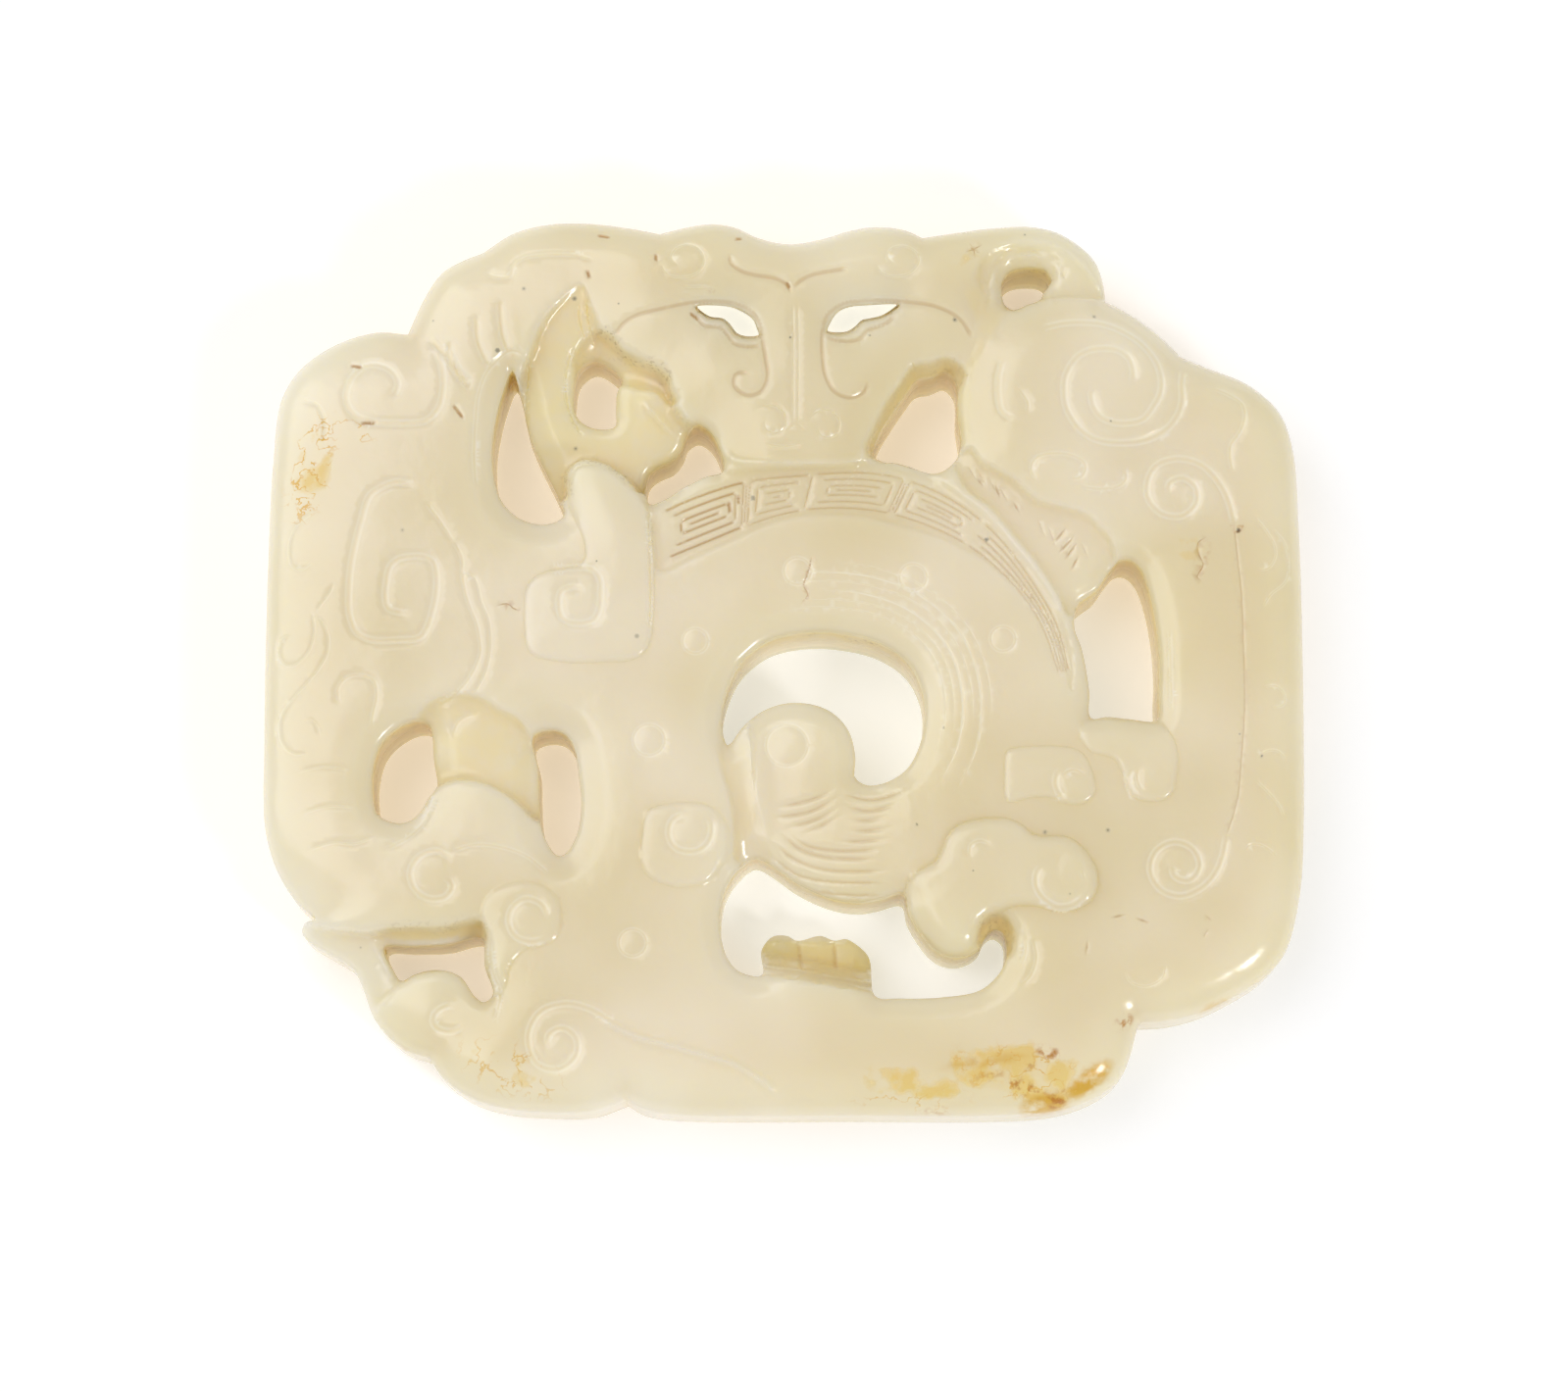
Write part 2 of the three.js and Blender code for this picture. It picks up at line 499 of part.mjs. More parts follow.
// Keyfret: nested square hooks that open left and right by turns
function fretBars() {
  const bars = [];
  const period = FRET_END / FRET_PERIODS;
  for (let i = 0; i < FRET_PERIODS; i += 1) {
    for (let j = 0; j < FRET_NEST; j += 1) {
      const inset = (j + 0.5) / (FRET_NEST * 2 + 1);
      const margin = FRET_GAP + inset * (1 - 2 * FRET_GAP);
      const near = (i + margin) * period;
      const far = (i + 1 - margin) * period;
      const [closedEnd, openEnd] = i % 2 ? [near, far] : [far, near];
      const low = inset;
      const high = 1 - inset;
      bars.push(bar(inBand(openEnd, high), inBand(closedEnd, high)));
      bars.push(bar(inBand(closedEnd, high), inBand(closedEnd, low)));
      bars.push(bar(inBand(closedEnd, low), inBand(openEnd, low)));
    }
  }
  return bars;
}

function bandGrooves() {
  const pieces = 7;
  return Array.from({ length: BAND_LINES }, (_, k) => {
    const across = (k + 0.5) / BAND_LINES;
    const places = Array.from({ length: pieces + 1 }, (_, i) => {
      return inBand(THREE.MathUtils.lerp(FRET_END + 1 - BAND_END, BAND_END, i / pieces), across);
    });
    return groove(new THREE.CatmullRomCurve3(places), LINE_WIDTH, LINE_DEPTH);
  });
}

// Long chevrons below the bird's eye: each row is drawn as [x, y] from the height of its bend
const FEATHER_BEND = -14.3; // height of the first bend in the drawing
const FEATHER_SPACING = 1.7;
const featherStart = [-1, -0.6];
const featherRise = [5.4, 0.7];
const featherEnd = [9.6, 0.1];

function featherGrooves() {
  return Array.from({ length: FEATHER_ROWS }, (_, row) => {
    const bend = FEATHER_BEND - row * FEATHER_SPACING;
    const points = [featherStart, [2.2, 0], featherRise, featherEnd].map(([x, y]) => [x, bend + y]);
    return groove(curveThrough(points, field), LINE_WIDTH, LINE_DEPTH);
  });
}

function build() {
  let jade = solid(rounded(rimOutline(), 0, field, RIM_ROUND, 2));
  const cut = (geometry) => {
    jade = jade.subtract(solid(geometry));
  };
  const join = (geometry) => {
    jade = jade.add(solid(geometry));
  };
  const withinRim = solid(rounded(rimOutline(), 0, face, RIM_ROUND, 2));
  const foot = field - 2 * RAISED_EDGE - overlap;
  for (const { drop, outline, ramp } of raisedMembers) {
    const member = ramp
      ? stepped(closedOutline(outline), [[foot, 0], [field, 0], [face - drop, -ramp]])
      : rounded(closedOutline(outline), foot, face - drop, RAISED_EDGE, 1);
    jade = jade.add(solid(member).intersect(withinRim));
  }
  for (const { drop, outline, lean = RECESS_LEAN } of recesses) {
    cut(flaring(closedOutline(outline), face - drop, field + overlap, lean, lean));
  }
  join(rounded(closedOutline(tailTip), 0, face - TAIL_DROP, TAIL_ROUND, 1));
  for (const place of domes) {
    join(dome(place, field));
  }
  for (const points of Object.values(lines)) {
    cut(groove(curveThrough(points, field), SCROLL_WIDTH, SCROLL_DEPTH));
  }
  for (const points of Object.values(faceLines)) {
    cut(groove(curveThrough(points, face), LINE_WIDTH, LINE_DEPTH));
  }
  for (const curl of curls) {
    const path = curveThrough(curlPoints(curl), face - curl.drop);
    cut(groove(path, SCROLL_WIDTH, SCROLL_DEPTH, CURL_STEP));
  }
  [...fretBars(), ...bandGrooves(), ...featherGrooves()].forEach(cut);
  for (const outline of Object.values(windows)) {
    const mouth = closedOutline(outline);
    const chamfer = [[field - WINDOW_RIM, 0], [field, WINDOW_RIM]];
    cut(stepped(mouth, [[-clear, 0], ...chamfer, [face + clear, WINDOW_RIM]]));
  }
  const climb = EYE_LEAN / THICKNESS;
  for (const outline of Object.values(eyes)) {
    const eye = block(closedOutline(outline), -clear, face + clear);
    eye.applyMatrix4(new THREE.Matrix4().makeShear(0, 0, 0, 0, 0, -climb));
    cut(eye.translate(0, EYE_LEAN, 0));
  }
  join(block(closedOutline(paw), PAW_BOTTOM, PAW_TOP));
  for (const points of toeLines) {
    cut(groove(curveThrough(points, PAW_TOP), SCROLL_WIDTH, SCROLL_DEPTH));
  }
  return jade;
}

const jade = build().getMesh();
const geometry = new THREE.BufferGeometry();
geometry.setAttribute('position', new THREE.BufferAttribute(jade.vertProperties, 3));
geometry.setIndex(new THREE.BufferAttribute(jade.triVerts, 1));

const nephrite = new THREE.MeshStandardMaterial({ color: 0xe0d4b4, roughness: 0.25, metalness: 0 });
const pendant = new THREE.Mesh(geometry, nephrite);
pendant.name = 'jade_pendant';

const group = new THREE.Group();
group.add(pendant);

export default group;
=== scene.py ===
import math

import bpy
import numpy as np
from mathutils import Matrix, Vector
from mathutils.geometry import delaunay_2d_cdt
from mathutils.kdtree import KDTree


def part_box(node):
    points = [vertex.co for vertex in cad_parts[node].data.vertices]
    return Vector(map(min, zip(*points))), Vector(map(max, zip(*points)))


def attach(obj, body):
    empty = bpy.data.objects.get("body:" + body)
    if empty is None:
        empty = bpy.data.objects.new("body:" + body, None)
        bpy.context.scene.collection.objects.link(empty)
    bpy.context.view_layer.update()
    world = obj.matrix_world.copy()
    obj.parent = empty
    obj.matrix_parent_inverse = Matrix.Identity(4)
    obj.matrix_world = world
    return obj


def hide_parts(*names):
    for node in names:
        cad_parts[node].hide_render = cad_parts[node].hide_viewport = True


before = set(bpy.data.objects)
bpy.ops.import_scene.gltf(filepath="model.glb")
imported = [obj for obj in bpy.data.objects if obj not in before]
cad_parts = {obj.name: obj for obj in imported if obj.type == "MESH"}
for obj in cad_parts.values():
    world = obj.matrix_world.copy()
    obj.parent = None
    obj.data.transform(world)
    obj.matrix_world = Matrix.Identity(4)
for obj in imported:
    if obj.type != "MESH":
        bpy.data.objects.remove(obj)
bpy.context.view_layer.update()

# An openwork plaque of pale nephrite, carved as a coiled dragon that faces the viewer.
# The drawing has a hundred units across the plaque and its origin at the middle. Heights and widths of
# cuts are in millimetres, and the finished mesh is in metres.
low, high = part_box("jade_pendant")
mm = 0.001
unit = (high[0] - low[0]) / mm / 100
face = high[2] / mm

plaque = {
    "fieldDrop": 0.5,       # the field lies this far under the mask and the raised curls
    "rimWidth": 2.5,        # rounding of the outer rim, seen from above
    "rimFall": 2.0,         # and seen from the side
    "leftPillow": 2.2,      # the left flank is rounded over this much more of its width
    "pillowWidth": 3.5,     # and every member is faintly rounded towards the windows
    "pillowFall": 0.16,
    "memberSwell": 0.1,     # raised members stand this much higher in their middle
    "swellWidth": 3.0,      # and rise to it over this width
    "bodyPillow": 8.0,      # the whole plaque is faintly rounded over this width
    "lipShare": 0.35,       # stone beside a sunk region is rounded off by this share of the fall,
    "lipMost": 0.6,         # but by no more than this
    "edgeDrop": 0.22,       # every window's edge is broken this far down
    "edgeWidth": 0.28,
    "cutEnd": 0.05,         # share of a cut's depth that is left at its tapered ends
    "regionReach": 3.2,     # no edge of a region works further in than this
    "leftFrom": 22,         # the left flank's extra rounding starts this many units left of the middle
    "rimFoot": 3.6,         # the rim's rounding stops this high, but falls by "rimLeast" at least
    "rimLeast": 0.6,
    "softReach": 0.9,       # a soft edge is averaged over places this far round a point
    "backRound": 1.0,       # rounding of the rim on the back
    "windowBack": 0.35,     # rounding of a window's edge on the back
    "eyeLean": 2.0,         # an eye hole climbs this far towards the forehead on its way through
    "edgeStep": 0.25,       # spacing of points along the rim and the windows
    "lineStep": 0.24,       # along drawn lines
    "fillStep": 0.33,       # over the rest of the face
    "backStep": 1.1,        # and over the back
    # rows of points beside the rim and the windows (how far off, and how far apart), beside the borders of
    # the regions, and down every side
    "edgeRows": ((0.05, 0.15), (0.13, 0.16), (0.25, 0.17), (0.42, 0.2), (0.65, 0.24), (0.95, 0.27)),
    "regionRows": (0, -0.12, 0.12, 0.3, -0.3),
    "sideRows": (0.12, 0.3, 0.55, 0.8),
}
field = face - plaque["fieldDrop"]

# The rim is a row of lobes that meet in notches, clockwise from the notch above the left flank
lobes = [
    [(-36.6, 32.5), (-35, 36.1), (-33.3, 38.6), (-31.3, 39.8), (-29.3, 40.6)],
    [(-29.3, 40.6), (-26.4, 42.5), (-23, 43.4), (-19, 43.5), (-15, 42.9), (-12.1, 42.3)],
    [(-12.1, 42.3), (-9.3, 43), (-6.9, 43.3), (-4.6, 42.9), (-2.5, 41.9), (0.5, 41.3), (3.7, 41.8),
     (6.3, 42.6), (8.9, 43), (11.7, 42.7), (13.5, 41.9)],
    [(13.5, 41.9), (17.1, 42.5), (20, 43), (23.8, 43.2), (26.4, 42.7), (28.5, 41.5), (30.3, 39.7),
     (31.1, 37.5), (31.3, 35.7)],
    [(31.3, 35.7), (32.5, 35.1), (34.9, 33.6), (36.8, 32), (38.6, 30.2)],
    [(38.6, 30.2), (41.2, 29.1), (45, 27.5), (48, 24.8), (49.3, 21.3), (49.8, 13.9), (50, 4), (49.9, -15.7),
     (49.4, -22.6), (47.9, -28), (45.8, -30.4), (43.3, -32), (40, -33.6), (36.9, -34.4), (34.1, -34.6)],
    [(34.1, -34.6), (33.7, -35.3), (33.1, -37.6), (31.9, -40.2), (29.3, -42), (25.8, -43.1), (20, -43.5),
     (6.6, -43.5), (-10.5, -43.4), (-13.5, -42.9), (-15, -42)],
    [(-15, -42), (-18.1, -43.1), (-22.4, -43.2), (-26.8, -42.8), (-30.1, -41.7), (-32.6, -39.8),
     (-33.9, -37.9)],
    [(-33.9, -37.9), (-36.1, -37.2), (-38.1, -35.6), (-39.4, -33.8), (-40.3, -31.4), (-41.3, -29.4),
     (-43.6, -27.9), (-45.6, -26.7), (-46.3, -25.7), (-45.9, -25), (-44.9, -24.7)],
    [(-44.9, -24.7), (-46.9, -22.8), (-48.7, -19.8), (-49.8, -15.9), (-50, -8), (-49.9, 8), (-49.5, 20),
     (-48.8, 26), (-47, 29), (-43.5, 31.5), (-39.5, 32.7), (-36.6, 32.5)],
]

# Windows that go right through. A bevel of this width falls so far towards each.
windows = {
    "leftDrop": {"bevel": 1.4, "fall": 0.55, "loop": [
        (-26.3, 28.5), (-25.4, 25.7), (-24.9, 23.3), (-23.9, 20.7), (-23, 18.9), (-21.9, 16.6),
        (-21.3, 14.2), (-23, 13.4), (-25.4, 13.9), (-27.2, 15.6), (-28, 18), (-28.2, 21), (-27.8, 24),
        (-27.2, 26.4)]},
    "ringHole": {"bevel": 0.6, "fall": 0.25, "loop": [
        (-20.3, 24.8), (-20.4, 27), (-19.9, 29.1), (-18.4, 30.1), (-16.9, 29.4), (-15.7, 28), (-16.2, 26.6),
        (-16.3, 24.8), (-16.4, 23.4), (-18.2, 23.2), (-19.6, 23.8)]},
    "underCheek": {"bevel": 0.5, "fall": 0.25, "loop": [
        (-13.3, 16), (-13.2, 18.6), (-12.3, 19.5), (-10.8, 20.2), (-9.9, 21.3), (-9.4, 22.6), (-8.4, 23.2),
        (-7.4, 22.7), (-6.5, 21.4), (-5.9, 18.5), (-7.5, 18), (-9.5, 17), (-11.5, 15.8), (-12.9, 15.3)]},
    "leftEye": {"bevel": 0.3, "fall": 0.1, "lean": True, "loop": [
        (-8.6, 34.5), (-5.5, 34.6), (-4.3, 34.2), (-3, 33.3), (-2.6, 32.3), (-2.4, 31.6), (-3.5, 31.4),
        (-4.6, 31.7), (-5.3, 32.6), (-6, 33.2), (-7.3, 33.4)]},
    "rightEye": {"bevel": 0.3, "fall": 0.1, "lean": True, "loop": [
        (4.2, 32), (4.5, 33), (5.2, 34), (6.2, 34.5), (8, 34.7), (11.2, 34.7), (10.7, 34.2), (9.6, 33.5),
        (8.4, 33.2), (7.6, 33), (7, 32.4), (6.2, 31.9), (5.3, 31.8)]},
    "besideMask": {"bevel": 0.7, "fall": 0.3, "loop": [
        (8.7, 20.3), (9.2, 22.3), (10.4, 24.4), (11.8, 26.5), (12.9, 27.9), (14.3, 28.2), (15.7, 28.7),
        (16.7, 27.6), (16.8, 24.5), (17.1, 21), (16.2, 19.2), (14.6, 18.3), (12, 19)]},
    "upperRight": {"bevel": 0.6, "fall": 0.3, "loop": [
        (21.4, 35.2), (21.2, 37.4), (22, 38.6), (23.8, 39), (25.4, 38.7), (26, 37.6), (25.2, 36.3),
        (24.8, 35.5), (23.5, 35), (22.2, 34.6)]},
    "crescent": {"bevel": 1.2, "fall": 0.45, "loop": [
        (-5.4, -8.1), (-5.9, -6.6), (-5.9, -4.6), (-5.3, -2.4), (-4.1, -0.1), (-1.5, 2), (1.5, 2.8),
        (5.1, 2.8), (9.2, 1.8), (12, -0.2), (13.3, -2.9), (13.5, -5.2), (13.1, -7.8), (11.8, -10.4),
        (9.6, -11.8), (7.8, -11.95), (6.75, -11.1), (6.85, -9.3), (6.2, -6.7), (4.6, -4.9), (2.5, -4.05),
        (0, -4), (-2.2, -4.8), (-4, -6.4)]},
    "rightDrop": {"bevel": 1.1, "fall": 0.4, "loop": [
        (29.4, -5.5), (29.3, -3), (29, -0.8), (28.6, 1.2), (27.9, 3.4), (28.3, 5.6), (30.2, 7.2),
        (31.4, 8.9), (32.4, 9.9), (33.4, 9.9), (34.4, 8.9), (35.2, 6.7), (35.8, 3.6), (36.1, 0), (36, -3),
        (35.8, -5.7), (33, -5.6), (31, -5.4)]},
    "leftHook": {"bevel": 1.2, "fall": 0.45, "loop": [
        (-33.3, -12.2), (-33.6, -9.5), (-34.1, -6), (-35.3, -5.7), (-37.1, -6.5), (-38.6, -8), (-39.3, -10),
        (-39.4, -12.8), (-38.9, -14.8), (-37.4, -15.6), (-36, -15.55), (-34.8, -14.6), (-34, -13.2)]},
    "leftComma": {"bevel": 1.7, "fall": 0.6, "loop": [
        (-24.1, -7.2), (-22.6, -6.6), (-21.2, -6.9), (-20.2, -8.2), (-19.6, -11.5), (-19.4, -14),
        (-19.8, -16.7), (-20.8, -18.5), (-21.6, -18.8), (-22.5, -17.8), (-23.3, -15.6), (-23.5, -13),
        (-23.6, -10.2)]},
    "tailGap": {"bevel": 0.7, "fall": 0.35, "loop": [
        (-38.3, -27.3), (-35.5, -27.2), (-32.5, -27.1), (-28.9, -26.5), (-28.5, -29.5), (-27.7, -32.1),
        (-28.6, -32.8), (-29.5, -32.2), (-30.9, -30.3), (-33.4, -29.6), (-35.3, -30), (-36.6, -30.6),
        (-37.5, -29.4)]},
    "overPaw": {"bevel": 1.3, "fall": 0.4, "loop": [
        (-2.7, -18.9), (-0.5, -20.1), (1, -21.2), (3.1, -22.3), (5.1, -23), (7.2, -23.25), (9, -23),
        (11.4, -22.5), (11.9, -24.3), (12.9, -26.1), (14.1, -27.6), (15.4, -28.4), (16.8, -28.5),
        (18, -28.1), (18.8, -27.4), (19.3, -26.3), (20.2, -25.7), (21.1, -26.3), (21.3, -27.8),
        (20.9, -29.4), (20, -30.7), (18.5, -31.8), (15, -32.4), (11, -32.5), (8.7, -32.3), (8.4, -30.1),
        (8.4, -28.6), (8, -27.4), (6.1, -26), (4.9, -26.15), (3.55, -25.8), (1.2, -26.15), (0.4, -25.8),
        (-1.3, -25.9), (-2.2, -27.1), (-2, -28.9), (-2.2, -30.3), (-4.3, -29.9), (-5.4, -28.6), (-6, -26.4),
        (-6, -23.6), (-5.5, -21.8), (-4.3, -20)]},
}

# Regions of the face, in carving order. "raise" lifts the face to a level with a rounded edge, "sink"
# cuts it down to one with a wall and a fillet. A level is a height, or (height, at x, at y, rise per
# unit along x, and along y). "over" rounds off what stands around a sunk region.
# A region's yellow-gold share tints its sunk floor: partly its real staining, partly a painted warm glow in
# its shade.
regions = [
    {"name": "mask", "how": "raise", "level": face, "edge": 3.4, "soft": True, "loop": [
        (-17.6, 32), (-16.4, 31.2), (-15.7, 30.2), (-14.5, 29.6), (-13, 28.9), (-12, 28.4), (-11.3, 27.6),
        (-11.1, 26.6), (-10.4, 25.3), (-9.5, 24), (-8, 23.2), (-7, 22.6), (-6.2, 21.5), (-5.4, 20.6),
        (-4.9, 18), (0, 17), (5, 17), (7, 18), (8, 21.5), (8.6, 23), (9.2, 24.6), (10, 25.6), (11.3, 27.4),
        (13, 28.3), (16, 28.6), (17.8, 29.6), (18.6, 31.6), (19, 34.4), (20, 38), (20, 46), (-17, 46),
        (-20, 40), (-19, 34.6)]},
    {"name": "band", "how": "sink", "level": field - 0.25, "edge": 0.7, "over": 0.3, "loop": [
        (-13.2, 15.2), (-10, 16.6), (-6, 18.2), (0, 18.7), (5, 18.9), (9, 19.3), (12, 18.6), (14.5, 17.8),
        (16, 16.8), (17.5, 15.7), (20, 13.6), (22.5, 10.6), (24, 8.8), (26.3, 5.2), (27.4, 2.5), (27.9, -1),
        (27.5, -3), (26.7, 0.5), (25.8, 2.8), (24.5, 4.7), (23, 6.4), (21, 8.2), (19, 9.8), (17, 10.9),
        (15, 11.8), (13, 12.5), (10, 13.3), (8, 13.9), (5, 14.1), (2, 14), (-1.5, 13.2), (-5, 11.6),
        (-8, 10.3), (-12, 8.6), (-12.6, 11)]},
    {"name": "horn", "how": "raise", "level": face - 0.25, "edge": 0.45, "loop": [
        (-20.8, 15.5), (-20.5, 17.8), (-19.8, 18.8), (-18.5, 19), (-17, 18.5), (-15.5, 17.4), (-14, 16.1),
        (-13.1, 14.6), (-12.6, 11), (-12.4, 7), (-12.5, 4), (-12.7, 2), (-13.5, 0.5), (-15, -0.2),
        (-17, -0.3), (-20, -0.4), (-22.5, -0.1), (-24, 0.3), (-24.7, 1.2), (-24.95, 3), (-25, 5),
        (-24.8, 6.8), (-24, 8), (-22.8, 8.6), (-21, 8.9), (-19.4, 9.4), (-19.2, 11), (-20, 13.4)]},
    {"name": "ring", "how": "sink", "level": (7.4, -18, 29, 0.02, 0.12), "edge": 0.5, "over": 0.35,
     "goldenAndGlow": 0.3, "loop": [
        (-19.6, 36.8), (-21.6, 35.2), (-23.4, 33), (-24.5, 30.2), (-25.6, 27.4), (-25.9, 24), (-24.6, 20),
        (-22.2, 15.5), (-21, 16.2), (-20.9, 18.4), (-19.6, 19.6), (-17.4, 19.3), (-15.4, 18), (-13.6, 16.4),
        (-11, 17.4), (-8.6, 19.6), (-8.6, 22.6), (-9.7, 23.6), (-10.9, 25.6), (-11.3, 27.2), (-12.2, 28.2),
        (-14.5, 29.3), (-16.6, 30.8), (-17.9, 32.6), (-18.6, 34.6)]},
    {"name": "underMask", "how": "sink", "level": 6.3, "edge": 2.4, "over": 0.4, "goldenAndGlow": 0.4, "loop": [
        (-18.2, 32.2), (-16.9, 31.8), (-15.7, 30.4), (-14.5, 29.7), (-13, 29), (-12, 28.4), (-11.2, 27.6),
        (-11, 26.6), (-10.4, 25.3), (-11, 25.2), (-12.4, 26.6), (-14.4, 27), (-15.6, 27.4), (-16.4, 27.4),
        (-18, 28), (-20, 28), (-20.2, 29.8), (-19.4, 31.4)]},
    {"name": "link", "how": "sink", "level": (7.6, -29, -8, 0.0, 0.08), "edge": 0.8, "over": 0.4,
     "goldenAndGlow": 0.3, "loop": [
        (-34.2, -4.4), (-31.6, -3.4), (-29.4, -3.6), (-27.2, -4.8), (-25.6, -5.6), (-24.4, -7), (-23.4, -9),
        (-22.6, -12), (-23.2, -15.4), (-24, -15.1), (-25.3, -13.9), (-27, -12.7), (-29, -11.8),
        (-31, -11.6), (-33.2, -12.1), (-35, -13.6), (-36.4, -9)]},
    {"name": "lowCurl", "how": "sink", "level": 7.7, "edge": 3.0, "soft": True, "loop": [
        (-36, -26.8), (-28.6, -26.4), (-26.6, -28.6), (-26.4, -33), (-28.4, -37.4), (-33, -42), (-42, -44),
        (-52, -36), (-52, -26), (-44, -25.6)]},
    {"name": "flankSlope", "how": "sink", "level": 6.8, "edge": 1.0, "over": 0.5, "goldenAndGlow": 0.4, "loop": [
        (-39.6, -26.6), (-38.3, -26), (-35.5, -25.8), (-32.5, -25.8), (-28.8, -25.3), (-28.4, -26.8),
        (-32.5, -27.4), (-38.3, -27.6)]},
    {"name": "holeSlope", "how": "sink", "level": 6.4, "edge": 0.5, "goldenAndGlow": 0.2, "soft": True, "loop": [
        (20.6, 35.6), (20.3, 37.8), (21.5, 39.7), (23.9, 40.2), (26.1, 39.7), (27, 37.8), (26.2, 36),
        (25.6, 36.8), (25.2, 38), (23.9, 38.6), (22.4, 38.2), (21.7, 37)]},
    {"name": "cheekSlope", "how": "sink", "level": 7.2, "edge": 1.1, "over": 0.3, "goldenAndGlow": 0.45, "loop": [
        (8.1, 20.4), (8.9, 22.7), (10, 25), (11.5, 27.2), (12.5, 28.6), (14.2, 29), (15.9, 29.4),
        (17.4, 28.2), (16.4, 26), (14, 24), (12, 21), (10, 19.4)]},
    {"name": "tail", "how": "sink", "level": 7.2, "edge": 0.5, "over": 0.5, "loop": [
        (-50, -26.6), (-46, -25.2), (-44.4, -25.5), (-42, -25.9), (-38, -26.4), (-34, -26.6), (-31, -26.2),
        (-29.4, -26.4), (-31, -29), (-36, -30.6), (-40, -34), (-46, -34)]},
    {"name": "cleft", "how": "sink", "level": 7.5, "edge": 1.6, "soft": True, "goldenAndGlow": 0.2, "loop": [
        (16.4, 28.4), (17.6, 29.2), (18.6, 31), (18.7, 32.6), (18, 34.4), (17.4, 36), (19.4, 37.4),
        (21.6, 37.8), (22.6, 35.4), (21.4, 33.6), (20.2, 31.8), (19, 29.5), (18.3, 27.2), (18, 24),
        (17.8, 20.8), (16.4, 20)]},
    {"name": "lobe", "how": "sink", "level": (8.1, 24, 38, 0.0, 0.05), "edge": 0.8, "over": 0.4, "loop": [
        (18.8, 37), (19.2, 39.4), (21, 40.6), (24.4, 41), (27.4, 40.2), (29.6, 38.2), (30.9, 35.9),
        (29, 35.6), (27, 35.6), (24.4, 35.4), (22, 34.4)]},
    {"name": "strip", "how": "sink", "level": 7.9, "edge": 0.6, "over": 0.35, "loop": [
        (16.4, 19.6), (17.9, 20.7), (19, 19.4), (20.5, 18.5), (22, 17.6), (23.5, 16.2), (25, 15.3),
        (27.5, 14.7), (29.3, 14), (30.4, 12.9), (31.6, 11.4), (31.8, 9.2), (29.4, 6.2), (27.4, 4.4),
        (26.3, 6.4), (24, 9.9), (22.5, 11.7), (20, 14.7), (17.5, 16.8)]},
    {"name": "recess", "how": "sink", "level": (8.2, -4, -8, 0.0, 0.06), "edge": 0.9, "over": 0.6,
     "goldenAndGlow": 0.15, "loop": [
        (-6.1, -5.6), (-6.3, -8), (-6, -10.6), (-5.3, -13), (-4.9, -15), (-4.8, -17.4), (-4.6, -19.4),
        (-2.6, -20), (-0.8, -19.2), (-1.6, -17), (-2.2, -15), (-2.6, -13), (-2.6, -11), (-2.5, -9),
        (-2.2, -7.3), (-2.6, -5.6), (-4, -5)]},
    {"name": "bird", "how": "sink", "level": (8.04, 3, -14, 0.05, 0.0), "edge": 1.6, "over": 0.0, "loop": [
        (-3, -4), (4, -3), (8, -8), (7.4, -11), (9.4, -12.4), (11.4, -12.6), (12.2, -14.6), (12.2, -17),
        (12.2, -20), (11.8, -24), (4, -25), (-4, -20), (-2.8, -15), (-3.2, -9)]},
    {"name": "knob", "how": "raise", "level": face, "edge": 0.8, "loop": [
        (11.4, -24.4), (11.5, -22.5), (11.8, -21.5), (12.5, -20.7), (13.5, -20), (14.4, -19.5), (15, -18.4),
        (15.4, -17.3), (16.2, -16.3), (17.3, -15.7), (18.7, -15.4), (20, -15.3), (21.5, -15.4), (22.8, -16),
        (23.7, -16.8), (24.5, -17), (25.8, -17), (27, -17.1), (28.2, -17.8), (29.2, -19), (29.9, -20.5),
        (29.9, -22), (29.2, -23.4), (27.6, -24.2), (25.8, -24.3), (23.6, -23.8), (21.4, -24), (19.4, -25.4),
        (18.4, -27.2), (17, -28.3), (15.4, -28.2), (13.6, -26.9), (12.3, -25.6)]},
    {"name": "pocket", "how": "sink", "level": 7.2, "edge": 0.9, "goldenAndGlow": 0.5, "over": 0.5, "loop": [
        (18.6, -27.6), (18.7, -26), (19.4, -24.9), (20.6, -24.6), (21.6, -25.4), (21.9, -27), (21.3, -28.4),
        (19.8, -28)]},
    {"name": "blockOne", "how": "raise", "level": face - 0.28, "edge": 0.4, "loop": [
        (21.3, -13.8), (21, -11), (21.2, -9), (21.8, -8.6), (27.4, -8.5), (28.6, -9.1), (29.3, -10.3),
        (29.7, -11.6), (29.8, -12.8), (29.1, -13.7), (28, -14.1), (26.7, -13.9), (25.6, -13.4),
        (23.6, -13.4)]},
    {"name": "blockTwo", "how": "raise", "level": face - 0.28, "edge": 0.4, "loop": [
        (28.2, -7.5), (28.6, -6.2), (29.4, -5.7), (35, -5.9), (36, -6.2), (36.9, -7), (37.5, -8.2),
        (37.7, -9.5), (37.6, -11), (37.2, -12.8), (36.3, -13.6), (35, -13.8), (33.7, -13.5), (32.9, -12.9),
        (32.5, -11.6), (31.4, -9.6), (29.4, -9)]},
    {"name": "haunch", "how": "raise", "level": face - 0.1, "edge": 2.2, "soft": True, "loop": [
        (18, 20.4), (18.2, 23), (18.3, 25), (18.5, 27.5), (19, 29.5), (20, 31.5), (20.8, 33), (22, 34.2),
